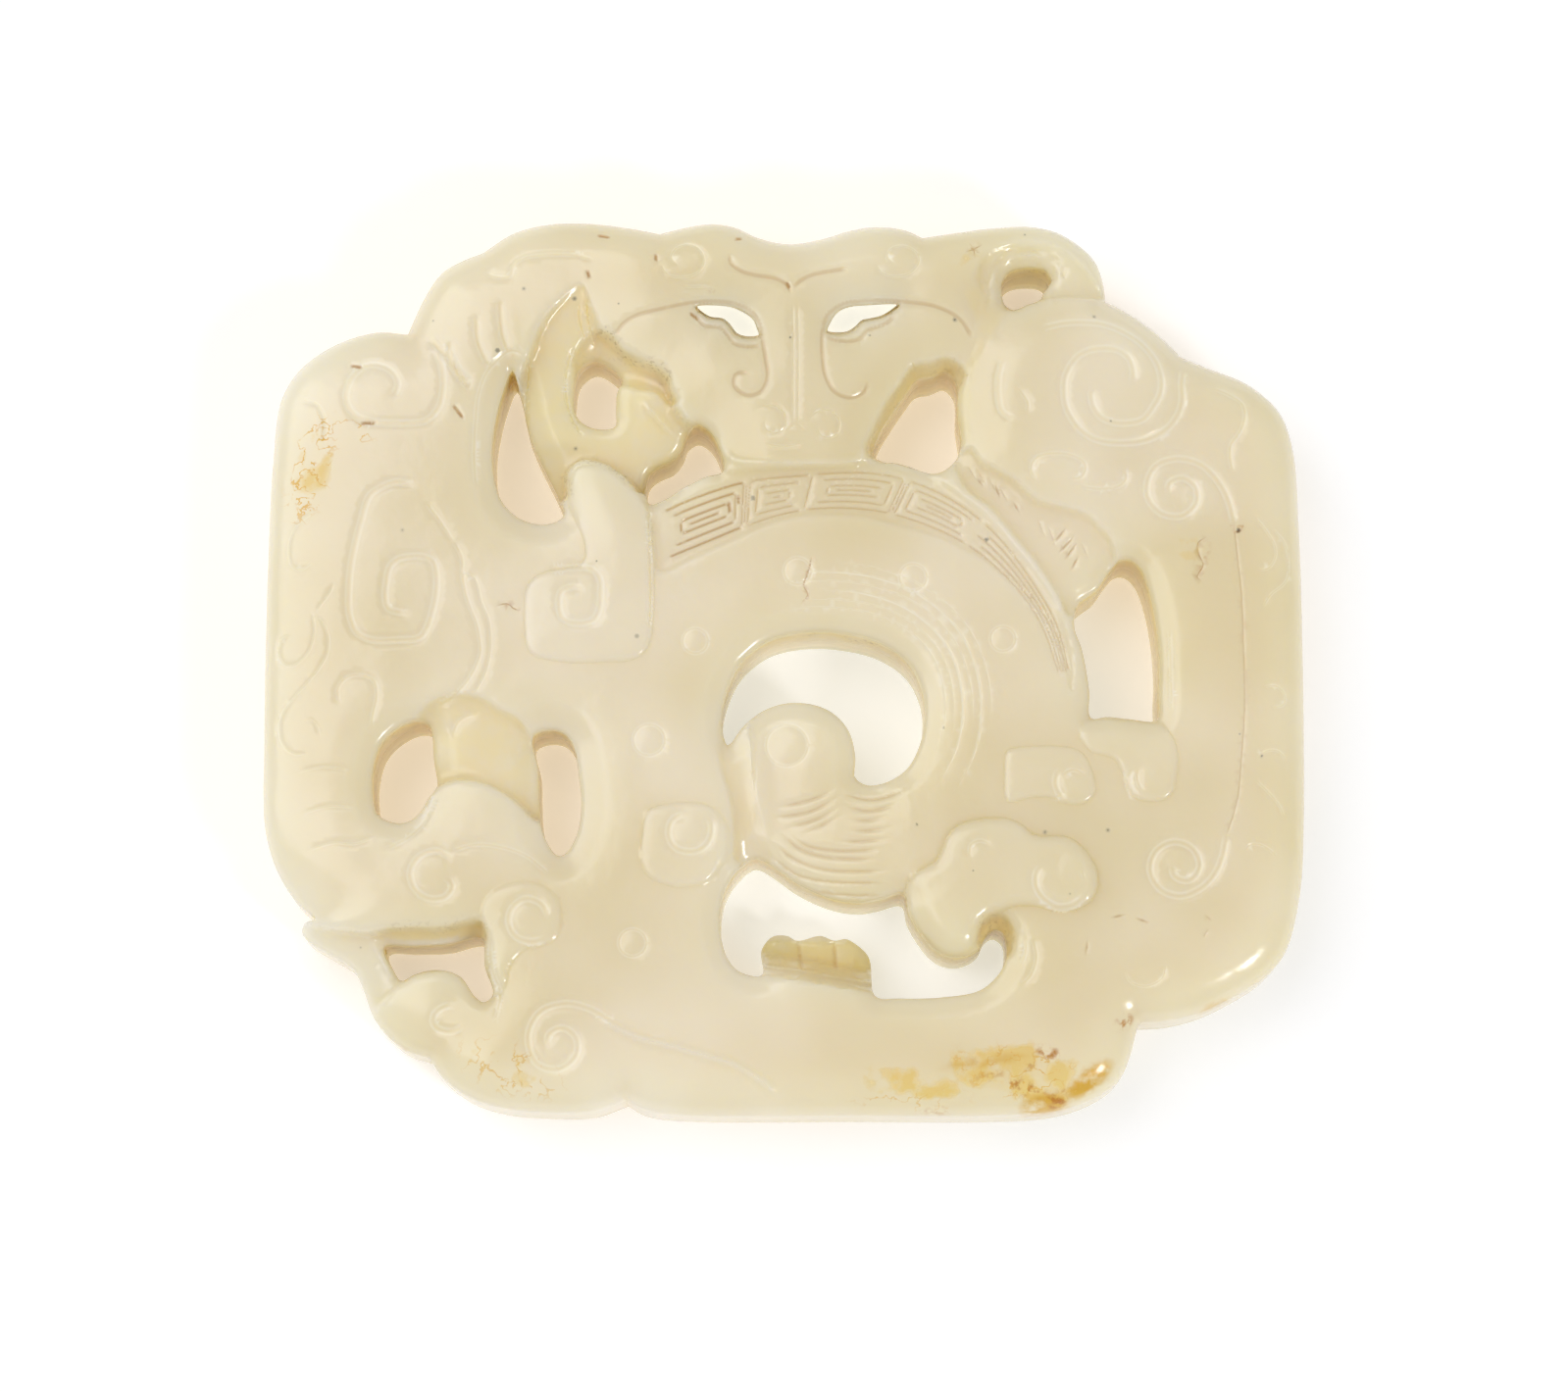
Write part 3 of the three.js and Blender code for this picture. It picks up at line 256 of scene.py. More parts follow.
        (24, 35.1), (27, 35.5), (31.3, 35.6), (35.5, 33.4), (38.6, 30.1), (39.4, 27), (38.6, 23),
        (35.4, 20.4), (32.6, 18.6), (31, 16.4), (30.6, 13.6), (29.2, 14.3), (27.5, 14.8), (25, 15.4),
        (23.5, 16.3), (22, 17.7), (20.5, 18.6), (19, 19.5)]},
    {"name": "limbCurl", "how": "raise", "level": face - 0.3, "edge": 0.6, "loop": [
        (-28.2, -28), (-28.9, -24.8), (-28.7, -23.5), (-28, -22.5), (-27, -21.9), (-25, -21.4),
        (-23, -21.8), (-21.7, -22.9), (-21.2, -24.5), (-21.3, -26), (-21.8, -27), (-23, -27.6),
        (-24.5, -27.9), (-26, -29.4), (-26.9, -32), (-27.7, -32.4)]},
    {"name": "loop", "how": "raise", "level": face - 0.28, "edge": 0.5, "loop": [
        (-13, -14.6), (-11.5, -14), (-9.5, -13.8), (-7.5, -14), (-6.3, -14.8), (-5.5, -16), (-5.3, -17.5),
        (-5.5, -19), (-6.1, -20.3), (-7.2, -21.4), (-10, -22), (-12.5, -21.3), (-13.6, -20), (-13.6, -17)]},
    {"name": "paw", "how": "sink", "level": (3.1, 3, -28, 0.0, -0.06), "edge": 0.5,
     "goldenAndGlow": 0.3, "soft": True, "loop": [
        (-2.6, -29.1), (-4, -28.6), (-4.2, -25), (3, -24.5), (10.6, -25), (10.6, -30.6), (8.9, -30.9),
        (3, -30), (0, -29.5)]},
]

# Cuts along curves. "wide" and "deep" are in millimetres, "slant" widens the left bank of the cut (seen
# along its direction) by that many times, "dirt" browns it, "flat" is the share of its width that is
# level, and it runs out over "taper" millimetres at its ends.
plainCut = {"slant": 1.0, "dirt": 0.0, "flat": 0.1, "taper": 0.5}
cuts = [
    {"name": "mainScrolls", "wide": 0.62, "deep": 0.08, "flat": 0.62, "lines": [
        [(-33.7, 30.4), (-33, 28.2), (-33.2, 25), (-34.5, 23.4), (-36.7, 23.1), (-39.9, 23.3),
         (-41.6, 24.1), (-42.3, 25.6), (-41.8, 27.6), (-40.6, 28.8), (-39.2, 28.9), (-37.9, 28.2),
         (-37.3, 26.9), (-37.9, 25.6)],
        [(-35.6, 17.1), (-37.4, 17.3), (-38.8, 16.8), (-39.9, 16), (-40.7, 13.5), (-41.3, 11), (-41.7, 8.5),
         (-41.8, 5.5), (-41.6, 4), (-40.9, 2.6), (-39.5, 1.9), (-37, 1.9), (-35, 2.1), (-34.4, 2.8),
         (-33.8, 4.5), (-33.4, 6.5), (-33.4, 8.3), (-33.7, 9.5), (-34.6, 10), (-36.2, 10), (-37.2, 9.7),
         (-37.9, 9), (-38.2, 7.5), (-38.3, 6), (-38, 5), (-37, 4.6), (-36, 4.5)],
        [(-22.5, 8.7), (-20.1, 8.9), (-18.4, 8.7), (-17.7, 7.8), (-17.6, 6.2), (-17.8, 4.6), (-18.4, 3.7),
         (-20.4, 3.5), (-21.3, 4.1), (-21.6, 5.4), (-21.4, 6.5), (-20.5, 7), (-19.3, 6.9)],
        [(25, 32.4), (27, 32.9), (29, 33), (31, 32.8), (33, 32), (34.6, 30.9), (35.9, 29.2), (36.4, 27.5),
         (36.3, 26), (35.7, 24.8), (34.6, 23.4), (33, 23), (31.5, 23.1), (30.3, 23.8), (29.7, 25),
         (29.6, 26.3)],
        [(33.6, 27), (33.7, 28.3), (33.3, 29.4), (32.3, 30.2), (31, 30.4), (29.5, 30.2), (28.4, 29.6),
         (27.6, 28.6), (27.1, 27.4), (27, 26), (27.2, 24.6), (27.8, 23.3), (28.8, 22.1), (30, 21.4),
         (31.5, 21.1), (34.5, 21.3), (36.5, 22.2), (37.8, 23.6), (38.4, 25.2), (38.4, 27), (38.6, 28.5)],
        [(-9.5, -15), (-10.6, -15.5), (-11, -16.5), (-10.8, -17.6), (-10, -18.4), (-9, -18.6), (-8, -18.4),
         (-7.2, -17.6), (-6.9, -16.5), (-7.1, -15.4)],
        [(24.3, -20), (23.9, -21.2), (24.1, -22.3), (24.8, -23.2), (26, -23.9), (27.5, -23.7),
         (28.6, -22.9)],
        [(26.2, -10.7), (25.9, -11.8), (26.2, -12.9), (26.9, -13.7)],
        [(33.1, -10.5), (32.9, -11.7), (33.2, -12.8), (33.9, -13.4)],
        [(-22.4, -24.8), (-23.1, -23.6), (-24.5, -23.1), (-25.8, -23.9), (-26.2, -25.3), (-25.5, -26.7),
         (-24.1, -27.2), (-22.7, -26.9)],
        [(-16.2, -34.9), (-18.4, -33.6), (-20.9, -33.1), (-23.3, -34), (-24.3, -36.4), (-23.4, -38.8),
         (-21.4, -39.3), (-19.8, -38.1), (-19.7, -36.4), (-21, -35.4), (-22.3, -36), (-22.4, -37.2)],
        [(-31.3, -33.1), (-32.5, -33.3), (-33.3, -34), (-33.4, -34.8), (-32.8, -35.4), (-31.5, -35.6),
         (-30.5, -35.1)],
        [(-31.6, -19.3), (-33, -18.5), (-34.6, -18.9), (-35.6, -20.3), (-35.3, -21.9), (-34, -23),
         (-32.3, -22.9), (-31.6, -21.9), (-32.2, -21)],
        [(21.1, 29.2), (20.7, 27.5), (20.7, 25.5), (21, 24.2), (22.1, 23.4)],
        [(43.3, 13.3), (42.8, 15.4), (41.8, 17.4), (40.2, 19), (38, 19.6), (36, 19), (35, 17.4),
         (35.1, 15.6), (36.4, 14.2), (38.3, 14), (39.6, 15.1), (39.6, 16.8), (38.4, 17.7), (37.1, 17.2),
         (37, 16.2)],
        [(42.2, -17), (41.8, -19), (41.1, -20.6), (39.8, -22), (37.8, -22.8), (35.9, -22.2), (34.9, -20.4),
         (35.4, -18.6), (37.2, -17.6), (39, -18.3), (39.6, -20), (38.6, -21.3), (37.2, -20.9), (37, -19.9)],
    ]},
    {"name": "bodyLines", "wide": 0.42, "deep": 0.07, "flat": 0.5, "lines": [
        [(41.5, 26.6), (43, 26), (44.3, 25), (44.4, 23.3), (43.8, 22), (43.1, 21), (43, 19.5),
         (43.3, 18.3)],
        [(-31.8, 11.5), (-31, 10), (-30.9, 8.5), (-30.6, 6.5), (-30.1, 5), (-29.5, 3.5), (-29.2, 2),
         (-29.1, 0.8), (-29.6, -0.8), (-30.5, -2.3), (-31.7, -3.5), (-33.3, -4.4)],
        [(-34.5, 15.3), (-33.3, 13.8), (-31.8, 11.5)],
        [(-46.8, 25.5), (-45.3, 25.2), (-44.5, 24.2), (-44.2, 22.8), (-44.4, 21)],
        [(-29.7, 17), (-29.9, 20), (-29.8, 23), (-29.5, 26), (-28.5, 28.5), (-26.5, 30.3), (-25.2, 30)],
        [(-29, 38), (-27.8, 37.6), (-26.5, 37.7), (-26.3, 38.6), (-25.4, 39.4), (-23, 39.8), (-20, 39.7),
         (-18.4, 39.2)],
        [(-28, -27), (-27.7, -30), (-27, -32), (-27.5, -35)],
        [(-33.2, -12.9), (-34.5, -15.8), (-36, -17.3), (-38, -18.3)],
        [(-31.7, -18.5), (-29.5, -17.9), (-27, -18.1), (-24.5, -19), (-22.5, -20.6)],
        [(-31.8, -7.3), (-31.3, -6), (-30.3, -5.3), (-29.3, -5.2)],
        [(22.5, 26.5), (23.5, 25), (23.4, 24)],
        [(24.2, 17.6), (23.8, 18.6), (24.3, 19.6), (25.8, 20), (27.8, 19.8), (29, 18.9), (28.7, 17.8),
         (27.6, 17.5)],
        [(32.6, 18.6), (33, 17.8), (32.4, 17), (30.6, 16.6), (28.6, 16.8)],
        [(17.7, -19.3), (17.8, -18), (18.7, -17.6), (19.8, -18)],
        [(28.3, -20.3), (28.6, -21.5)],
        [(26.6, -11.4), (27.2, -10.8), (28, -10.8), (28.7, -11.3)],
        [(33.7, -10.7), (33.8, -12), (34.4, -12.9)],
        [(37, 3), (37.1, 0), (37.1, -5)],
        [(-42.6, -4.4), (-42.7, -2.7), (-42, -1.8), (-41, -1.5), (-39.8, -1.7), (-39.2, -2.2), (-39, -3.5),
         (-39.3, -5), (-39.5, -6.5)],
        [(22.8, -26.5), (23, -28), (22.5, -29.5)],
        [(23.7, -27), (24, -28.7), (23.4, -30.5), (22.5, -31.3)],
    ]},
    {"name": "rimCurls", "wide": 0.26, "deep": 0.055, "flat": 0.3, "lines": [
        [(-45.2, 14.5), (-46.8, 13.4), (-47.6, 11.8), (-47.7, 10.3), (-47.3, 9.2), (-46.6, 8.8),
         (-45.3, 9.6)],
        [(-43.3, 7.6), (-43.5, 6.7), (-44.3, 5.6), (-45, 4.6)],
        [(-45.4, 4.8), (-45.1, 3.5), (-45.1, 2.3), (-45.5, 1), (-46.3, 0), (-47.2, -0.5), (-48, -0.3),
         (-48.5, 0.4), (-48.6, 1.3), (-48.2, 2.2), (-47.3, 2.5)],
        [(-45, 4.5), (-44.2, 3.5), (-43.7, 2.2), (-43.8, 0.6), (-44.4, -0.6), (-45.5, -2), (-47, -3.6),
         (-48.1, -5), (-48.4, -6.3), (-48.2, -7.7), (-47.5, -8.7), (-46.6, -9.1), (-45.6, -8.9)],
        [(-46.1, -5.7), (-45.2, -5.9), (-44.6, -6.6), (-44.5, -7.5)],
        [(-46.5, -10.8), (-44, -10.4), (-41.5, -10.7)],
        [(-46, -14.8), (-43.5, -14.2), (-41, -14.3)],
        [(-45.3, -18.3), (-43, -17.7), (-41, -17.8), (-39.2, -17.2)],
        [(45.3, 14), (46.5, 12.5), (47.3, 11), (47.2, 9.8), (46.5, 8.9), (45.4, 8.8)],
        [(47, 12.9), (48.2, 11.5), (48.6, 9.7), (48.4, 8), (47.9, 7.3), (46.8, 6.4), (46, 5.2)],
        [(46, -2.6), (47.2, -2.5), (48, -3.3), (47.9, -4.3), (46.7, -4.6)],
        [(45.3, -9.6), (45.8, -9), (46.8, -8.7), (47.6, -9), (48, -9.8)],
        [(45, -11.5), (46.3, -12.8), (47.3, -14), (47.8, -15.2)],
        [(44, -18.5), (44.4, -17.9), (45.2, -17.8), (46.2, -18.2), (47, -19)],
        [(32.4, -30), (33, -31), (34.5, -31.4), (36, -30.6), (36.3, -29.3)],
        [(-31, 8.3), (-29.8, 8), (-29, 5.5), (-28.3, 3.8), (-28.1, 2), (-28.2, 0.3), (-28.7, -1.6),
         (-29.6, -3.2)],
        [(-11.9, 38.6), (-11.3, 37.7), (-9.8, 37.4), (-8.3, 37.9), (-7.7, 39), (-8.2, 40.2), (-9.4, 40.7),
         (-10.6, 40.2), (-10.9, 39.2), (-10.2, 38.6)],
        [(8.9, 38.6), (9.6, 37.8), (10.9, 37.5), (12.3, 37.9), (13.1, 39), (12.7, 40.1), (11.6, 40.6),
         (10.4, 40.3), (10, 39.4), (10.7, 38.8)],
        [(-10, 36.5), (-7, 36.5)],
    ]},
    {"name": "paleStrokes", "wide": 0.2, "deep": 0.06, "dirt": 0.12, "lines": [
        [(17.6, 19.3), (18.6, 17.6)], [(18.6, 18.8), (19.5, 17.2)], [(19.8, 17.8), (20.6, 16.3)],
        [(20.8, 17), (21.6, 15.5)], [(24.4, 13.9), (25.2, 12)], [(25.4, 13.2), (26.2, 11.2)],
        [(28.6, 11.6), (29.3, 10)],
    ]},
    {"name": "sideLine", "wide": 0.18, "deep": 0.04, "dirt": 0.25, "lines": [
        [(43.3, 13.3), (43.6, 10), (43.9, 7), (44.1, 0), (44.1, -5), (43.7, -10), (43.4, -13), (42.9, -15),
         (42.2, -17)],
    ]},
    {"name": "maskLines", "wide": 0.36, "deep": 0.07, "flat": 0.3, "dirt": 0.25, "lines": [
        [(-16.4, 31.7), (-15.6, 32.8), (-14.3, 33.6), (-12.1, 34.2), (-8.8, 34.9), (-6, 35), (-3.7, 34.4),
         (-2.5, 33.2), (-2.1, 31.2), (-1.8, 29.4), (-1.6, 27.4), (-2.3, 26), (-3.6, 25.7), (-4.8, 26.6),
         (-4.6, 27.8), (-3.4, 27.9)],
        [(-8.8, 34), (-7.7, 32.6), (-6.2, 32.4), (-5.4, 31.6), (-4.8, 30.8), (-3.4, 30.5), (-2.1, 30.7)],
        [(18.2, 31.5), (17, 33.3), (14.6, 34.5), (11.4, 35), (7.4, 35.1), (5.3, 34.6), (4.1, 33.4),
         (3.7, 31.8), (3.7, 29.8), (4, 27.6), (4.9, 26), (6.4, 25.5), (7.8, 26.2), (8, 27.2)],
        [(4, 31.5), (5.3, 31.1), (7.1, 31.2), (8.1, 32.1), (9.8, 32.8), (10.9, 33.8)],
        [(-5.2, 39.8), (-5.2, 38.9), (-4.1, 38), (-2.7, 37.6), (-0.9, 37.3), (0.2, 36.7), (0.7, 35.8)],
        [(0.9, 36.2), (1.4, 36.9), (2.6, 37.6), (4.4, 38), (6.2, 38.3)],
    ]},
    {"name": "noseLines", "wide": 0.22, "deep": 0.07, "taper": 1.0, "lines": [
        [(0.85, 34.6), (0.9, 30), (0.9, 23)],
        [(1.35, 34.6), (1.4, 30), (1.35, 23)],
        [(0.2, 22.2), (0.9, 22.7), (1.1, 23)], [(2.2, 22.2), (1.5, 22.7), (1.2, 23)],
        [(-2.6, 24.4), (-1.2, 24.7), (0, 24), (0.2, 22.8), (-0.7, 22), (-1.8, 22.4), (-1.8, 23.3)],
        [(2.4, 23.2), (3.4, 24.2), (4.8, 24), (5.4, 22.8), (4.8, 21.7), (3.6, 21.7), (3.2, 22.6)],
        [(-2, 21), (0, 20.7), (2, 21)],
    ]},
    {"name": "hairGrooves", "wide": 0.6, "deep": 0.2, "slant": 1.6, "lines": [
        [(-34.4, 31.6), (-33.2, 30.4), (-31.8, 28.3), (-30.4, 26.4)],
        [(-32.5, 31.3), (-32, 29), (-30.2, 26.8)],
        [(-29.9, 33.8), (-29.6, 31), (-28.6, 28.8)],
        [(-27.6, 35.2), (-27.3, 32), (-26.7, 30.2)],
    ]},
    {"name": "ringLines", "wide": 0.3, "deep": 0.18, "lines": [
        [(-20.4, 31), (-21, 29), (-21.2, 27), (-21, 25.4), (-20.3, 23.6), (-19.5, 22.4)],
        [(-19.8, 35), (-19.9, 34), (-19.3, 31.5)],
        [(-19.1, 35.5), (-19, 33.5), (-18.3, 31.2)],
        [(-24.6, 30), (-24.9, 27), (-25, 24), (-24.4, 21.5), (-23.4, 19.6)],
    ]},
    {"name": "hornEdge", "wide": 0.3, "deep": 0.22, "lines": [
        [(-13.1, 14.6), (-12.9, 10), (-12.8, 6), (-12.9, 3)],
    ]},
    {"name": "feathers", "wide": 0.36, "deep": 0.1, "taper": 1.6, "dirt": 0.22, "lines": [
        [(5, -12.4), (2.5, -13.5), (-0.8, -14.2)], [(5.2, -13.2), (2.5, -14.6), (-1.3, -15.2)],
        [(5.3, -14.2), (3, -15.4), (0, -16.2)], [(5.5, -15.1), (3.5, -16), (1.8, -16.8)],
        [(5.2, -12.8), (8, -13.5), (10, -13.2), (12, -12.2)], [(5.6, -14), (8, -14.6), (11, -13.9)],
        [(6, -15.3), (8, -15.5), (10, -15.1)], [(6, -16.4), (8, -16.5), (10.4, -16.2)],
        [(5, -17.4), (7, -17.5), (10, -17.3)],
        [(0.8, -16.8), (2, -17.8), (5, -18.4), (9.5, -18.3)],
        [(-0.3, -16.6), (1.5, -18.2), (4, -19), (9, -19.3)],
        [(-1, -17.5), (1, -19.2), (4, -20.2), (10, -20.4)],
        [(-1.5, -18.5), (1, -20.5), (4, -21.3), (10, -21.5)],
        [(2, -22), (6, -22.6), (10, -22.6)],
    ]},
    {"name": "strokes", "wide": 0.24, "deep": 0.08, "dirt": 0.4, "lines": [
        [(18.5, 18), (19.3, 17)], [(20.3, 17.4), (20.9, 15.8)], [(26, 11.5), (27.2, 13)],
        [(26.4, 10.5), (28, 12.2)],
        [(27, 9.8), (28.2, 11.5)], [(27.6, 8.8), (28.4, 10.3)], [(22, 15.6), (22.8, 14.4)],
        [(31, -24.9), (32.6, -24.6)], [(33.4, -24.9), (34.8, -25.4)], [(40, -24.6), (40.8, -25.2)],
        [(40.4, -25.9), (39.9, -26.8)], [(28.9, -27), (28.7, -28.5)],
    ]},
    {"name": "brownSlots", "wide": 0.32, "deep": 0.1, "dirt": 0.75, "taper": 0.2, "lines": [
        [(-42, 28.9), (-40.7, 28.7)], [(-40.9, 23.1), (-39.3, 23.1)], [(-32, 24.9), (-30.9, 23.5)],
        [(-18.2, 41.8), (-16.8, 41.5)], [(-12.4, 39.8), (-12.4, 38.9)], [(-19.1, 38.3), (-18.8, 37.3)],
        [(-4.9, 41.3), (-4, 41.4)], [(0.2, 37), (0.6, 36.1)], [(-5.3, 15.6), (-5.2, 14.2)],
        [(-4.4, 16.2), (-4.3, 15)], [(-9.2, 33.9), (-8.2, 33.1)],
    ]},
    {"name": "cracks", "wide": 0.13, "deep": 0.04, "dirt": 0.6, "lines": [
        [(2.7, 10), (2.3, 8.5), (1.9, 7.2), (2.3, 6.3), (1.6, 5.4)],
        [(-27.7, 5.2), (-26.5, 5.4), (-25.9, 4.9), (-25, 4.8)],
        [(40.7, 12), (39.8, 11.3), (39.9, 10.2), (40.3, 9.2), (39.7, 8), (40.2, 7.6)],
        [(17.5, 40), (18.3, 40.3), (19.3, 40.9)], [(18, 41), (18.4, 40.2), (18.5, 39.4)],
        [(17.8, 40.7), (19.1, 39.8)],
    ]},
    {"name": "toes", "wide": 0.4, "deep": 0.16, "dirt": 0.2, "lines": [
        [(1.2, -26.1), (1.5, -27.4), (1.7, -29.6)], [(4.8, -26.1), (4.9, -27.4), (5, -29.6)],
    ]},
]

# Low ridges: bright lines that stand up from the face
ridges = [
    {"name": "softRidges", "wide": 0.6, "tall": 0.22, "lines": [
        [(-17.7, -34.2), (-15.8, -35.5), (-13.7, -36.4), (-10.5, -37.2), (-7.9, -37.9), (-4.5, -39),
         (-2.2, -40.4), (-0.5, -41.9)],
        [(-39.5, -26.8), (-38.5, -28.5), (-37.5, -30.5)],
        [(-13.9, 25.7), (-12.2, 24), (-10.6, 22.2)],
    ]},
    {"name": "lip", "wide": 0.75, "tall": 0.17, "lines": [
        [(-6.5, 21.8), (-5.5, 20), (-4.4, 19.4), (0, 19.1), (5, 19.1), (7.1, 19.5), (8.1, 20.9)],
    ]},
    {"name": "toeRidges", "wide": 0.5, "tall": 0.07, "lines": [
        [(-0.3, -26.5), (-0.3, -29.6)], [(3.1, -26.5), (3.3, -29.6)], [(6.6, -26.8), (6.7, -29.6)],
    ]},
]

# Small domes: centre, radius in units, height in millimetres
domes = [
    (1.3, 8.6, 1, 0.06), (12.4, 8, 1, 0.06), (21, 2, 0.9, 0.05), (-8.5, 1.8, 0.9, 0.05),
    (-12.9, -7.8, 1.1, 0.06), (-14.4, -27.3, 1, 0.06), (0.3, -8.2, 1.2, 0.05), (-25.5, -8, 0.8, 0.15),
    (40.2, 15.7, 1.8, 0.12), (38, -20, 1.6, 0.08), (27.7, -20.4, 1.6, 0.08), (27.7, -11.9, 1.1, 0.03),
    (35, -11.2, 1, 0.04), (-9, -16.6, 1.3, 0.05), (-21.4, -37.1, 1.2, 0.07),
]
# Rings cut round some of them: centre and radius in units
ringCut = {"wide": 0.36, "deep": 0.026, "flat": 0.4, "taper": 0.01}
rings = [
    (1.3, 8.6, 1.3), (12.4, 8, 1.3), (21, 2, 1.2), (-8.5, 1.8, 1.2), (-12.9, -7.8, 1.5),
    (-14.4, -27.3, 1.3), (0.3, -8.2, 2.0),
]
# Patches of colour: centre, half width and half height in units, turn in degrees, strength
golds = [
    (-37.2, -37.4, 1.5, 0.7, -30, 0.9),
    (28.9, -40.3, 3.4, 1.3, 38, 1), (24.8, -42.6, 3, 1.3, 10, 1), (41.5, -33.3, 2.6, 0.9, 20, 0.6),
    (-37, -37.4, 2.2, 0.9, -28, 0.8), (19, -38.6, 5, 0.5, 8, 0.5),
]
stains = [
    (22, -39.6, 9, 3.4, -8, 1), (12.5, -40.6, 6.5, 2.4, 0, 0.64), (-26, -39.3, 6, 2.4, -15, 0.3),
    (18.5, 40, 3, 2, 10, 0.25), (-45.6, 18.8, 2.4, 6.5, -14, 0.5), (39, 10.8, 1.6, 2.4, -15, 0.2),
]
# Stretches where thin golden veins run through the stone
veins = [
    (-45.6, 18.8, 2.6, 7, -14, 1), (-41.5, 22.4, 2.8, 1.3, -20, 0.8), (-26, -39.2, 6.5, 3, -20, 0.6),
    (22, -39.6, 8, 3, -8, 0.8), (12, -42, 7, 1.6, 0, 0.5),
]
russets = [
    (25, -37.7, 1.6, 0.6, -10, 0.9), (23.2, -38.9, 0.8, 0.5, 20, 0.6), (22.6, -40.9, 1.9, 0.8, -25, 0.9),
    (26, -42.1, 1.4, 0.9, 40, 1), (19.6, -39.9, 1.8, 0.4, 15, 0.5), (24.2, -41.4, 1.2, 0.6, -30, 0.8),
    (14.5, -43.2, 1.8, 0.4, 0, 0.5), (32.4, -34.8, 1.1, 0.7, 35, 1), (-37.4, -37.3, 1.3, 0.4, -28, 0.9),
    (40.2, 10, 0.7, 2.2, -15, 0.3), (43.5, 12.8, 0.7, 0.6, 0, 1), (-6.9, 36.2, 0.6, 0.4, 20, 0.3),
    (4.95, -28.8, 0.35, 0.6, 0, 1),
]
specks = [(x, y, size * 0.45, size * 0.45, 0, dark) for x, y, size, dark in [
    (-34, 33.4, 0.35, 0.5), (-27.7, 30.3, 0.6, 0.6), (-25.2, 36.4, 0.4, 0.7), (-20.3, 35.5, 0.45, 0.7),
    (-16, 34.8, 0.3, 0.7), (-20.2, 21.2, 0.4, 0.9), (0.6, 31.4, 0.35, 1), (16.5, 33.2, 0.4, 0.9),
    (8.3, 31.6, 0.3, 0.6), (23.4, 42, 0.35, 0.7), (30, 33.6, 0.4, 0.6), (31.5, 23.2, 0.35, 0.6),
    (-3, 15.8, 0.6, 0.5), (-18, 9.5, 0.3, 0.8), (-36.7, 12.6, 0.4, 0.4), (12.9, -3.5, 0.35, 0.7),
    (15.3, -6.5, 0.3, 0.6), (12.7, -16, 0.35, 0.7), (30.9, -16.5, 0.4, 0.7), (24.9, -16.7, 0.4, 0.6),
    (18, -20.5, 0.3, 0.6), (27.2, -22.7, 0.35, 0.4), (-22.9, -12.6, 0.35, 0.5), (19.5, 11.7, 0.45, 0.7),
    (-29, -26.8, 0.35, 0.5), (-40.5, -27.4, 0.35, 0.5), (45.7, -9.3, 0.35, 0.8), (43.6, -7.2, 0.3, 0.5),
    (-14.1, 2.2, 0.5, 0.4), (43.7, 12.6, 0.5, 0.8),
]]


# A centripetal curve through drawn points, as points spaced evenly along it in millimetres
def curveOf(drawn, step, closed=False):
    p = np.array(drawn, float) * unit
    ends = (p[-1:], p[:2]) if closed else (2 * p[:1] - p[1:2], 2 * p[-1:] - p[-2:-1])
    p = np.vstack([ends[0], p, ends[1]])
    t = np.linspace(0, 1, 10, endpoint=False)[:, None]
    fine = []
    for a, b, c, d in zip(p, p[1:], p[2:], p[3:]):
        ab, bc, cd = (math.sqrt(max(math.dist(u, v), 1e-9)) for u, v in ((a, b), (b, c), (c, d)))
        leave = ((b - a) / ab - (c - a) / (ab + bc) + (c - b) / bc) * bc
        arrive = ((c - b) / bc - (d - b) / (bc + cd) + (d - c) / cd) * bc
        fine.append(b + leave * t + (3 * (c - b) - 2 * leave - arrive) * t**2
                    + (2 * (b - c) + leave + arrive) * t**3)
    fine = np.vstack(fine + [p[-2:-1]])
    run = np.concatenate([[0], np.cumsum(np.hypot(*np.diff(fine, axis=0).T))])
    count = max(2, round(run[-1] / step))
    at = np.linspace(0, run[-1], count + 1)
    spaced = np.column_stack([np.interp(at, run, fine[:, 0]), np.interp(at, run, fine[:, 1])])
    return spaced[:-1] if closed else spaced


def areaOf(loop):
    x, y = loop.T
    return 0.5 * np.sum(x * np.roll(y, -1) - np.roll(x, -1) * y)


# Distance from each place to a line, which side of it the place lies on (1 left, -1 right), and how far
# the nearest point of the line is from the line's ends
def distanceTo(places, line, reach, closed=False):
    far = np.full(len(places), np.inf)
    side = np.ones(len(places))
    toEnd = np.full(len(places), np.inf)
    near = np.all((places > line.min(0) - reach) & (places < line.max(0) + reach), axis=1)
    start = line if closed else line[:-1]
    step = (np.roll(line, -1, 0) if closed else line[1:]) - start
    square = np.maximum((step**2).sum(1), 1e-12)
    for block in np.array_split(np.flatnonzero(near), max(1, near.sum() * len(start) // 4000000)):
        if not len(block):
            continue
        gap = places[block, None] - start[None]
        share = np.clip((gap * step).sum(2) / square, 0, 1)
        off = gap - share[..., None] * step
        apart = np.hypot(off[..., 0], off[..., 1])
        best = apart.argmin(1)
        row = np.arange(len(block))
        far[block] = apart[row, best]
        cross = step[best, 0] * gap[row, best, 1] - step[best, 1] * gap[row, best, 0]
        side[block] = np.where(cross >= 0, 1, -1)
        run = (best + share[row, best]) * math.sqrt(square.mean())
        toEnd[block] = np.minimum(run, len(start) * math.sqrt(square.mean()) - run)
    return far, side, toEnd


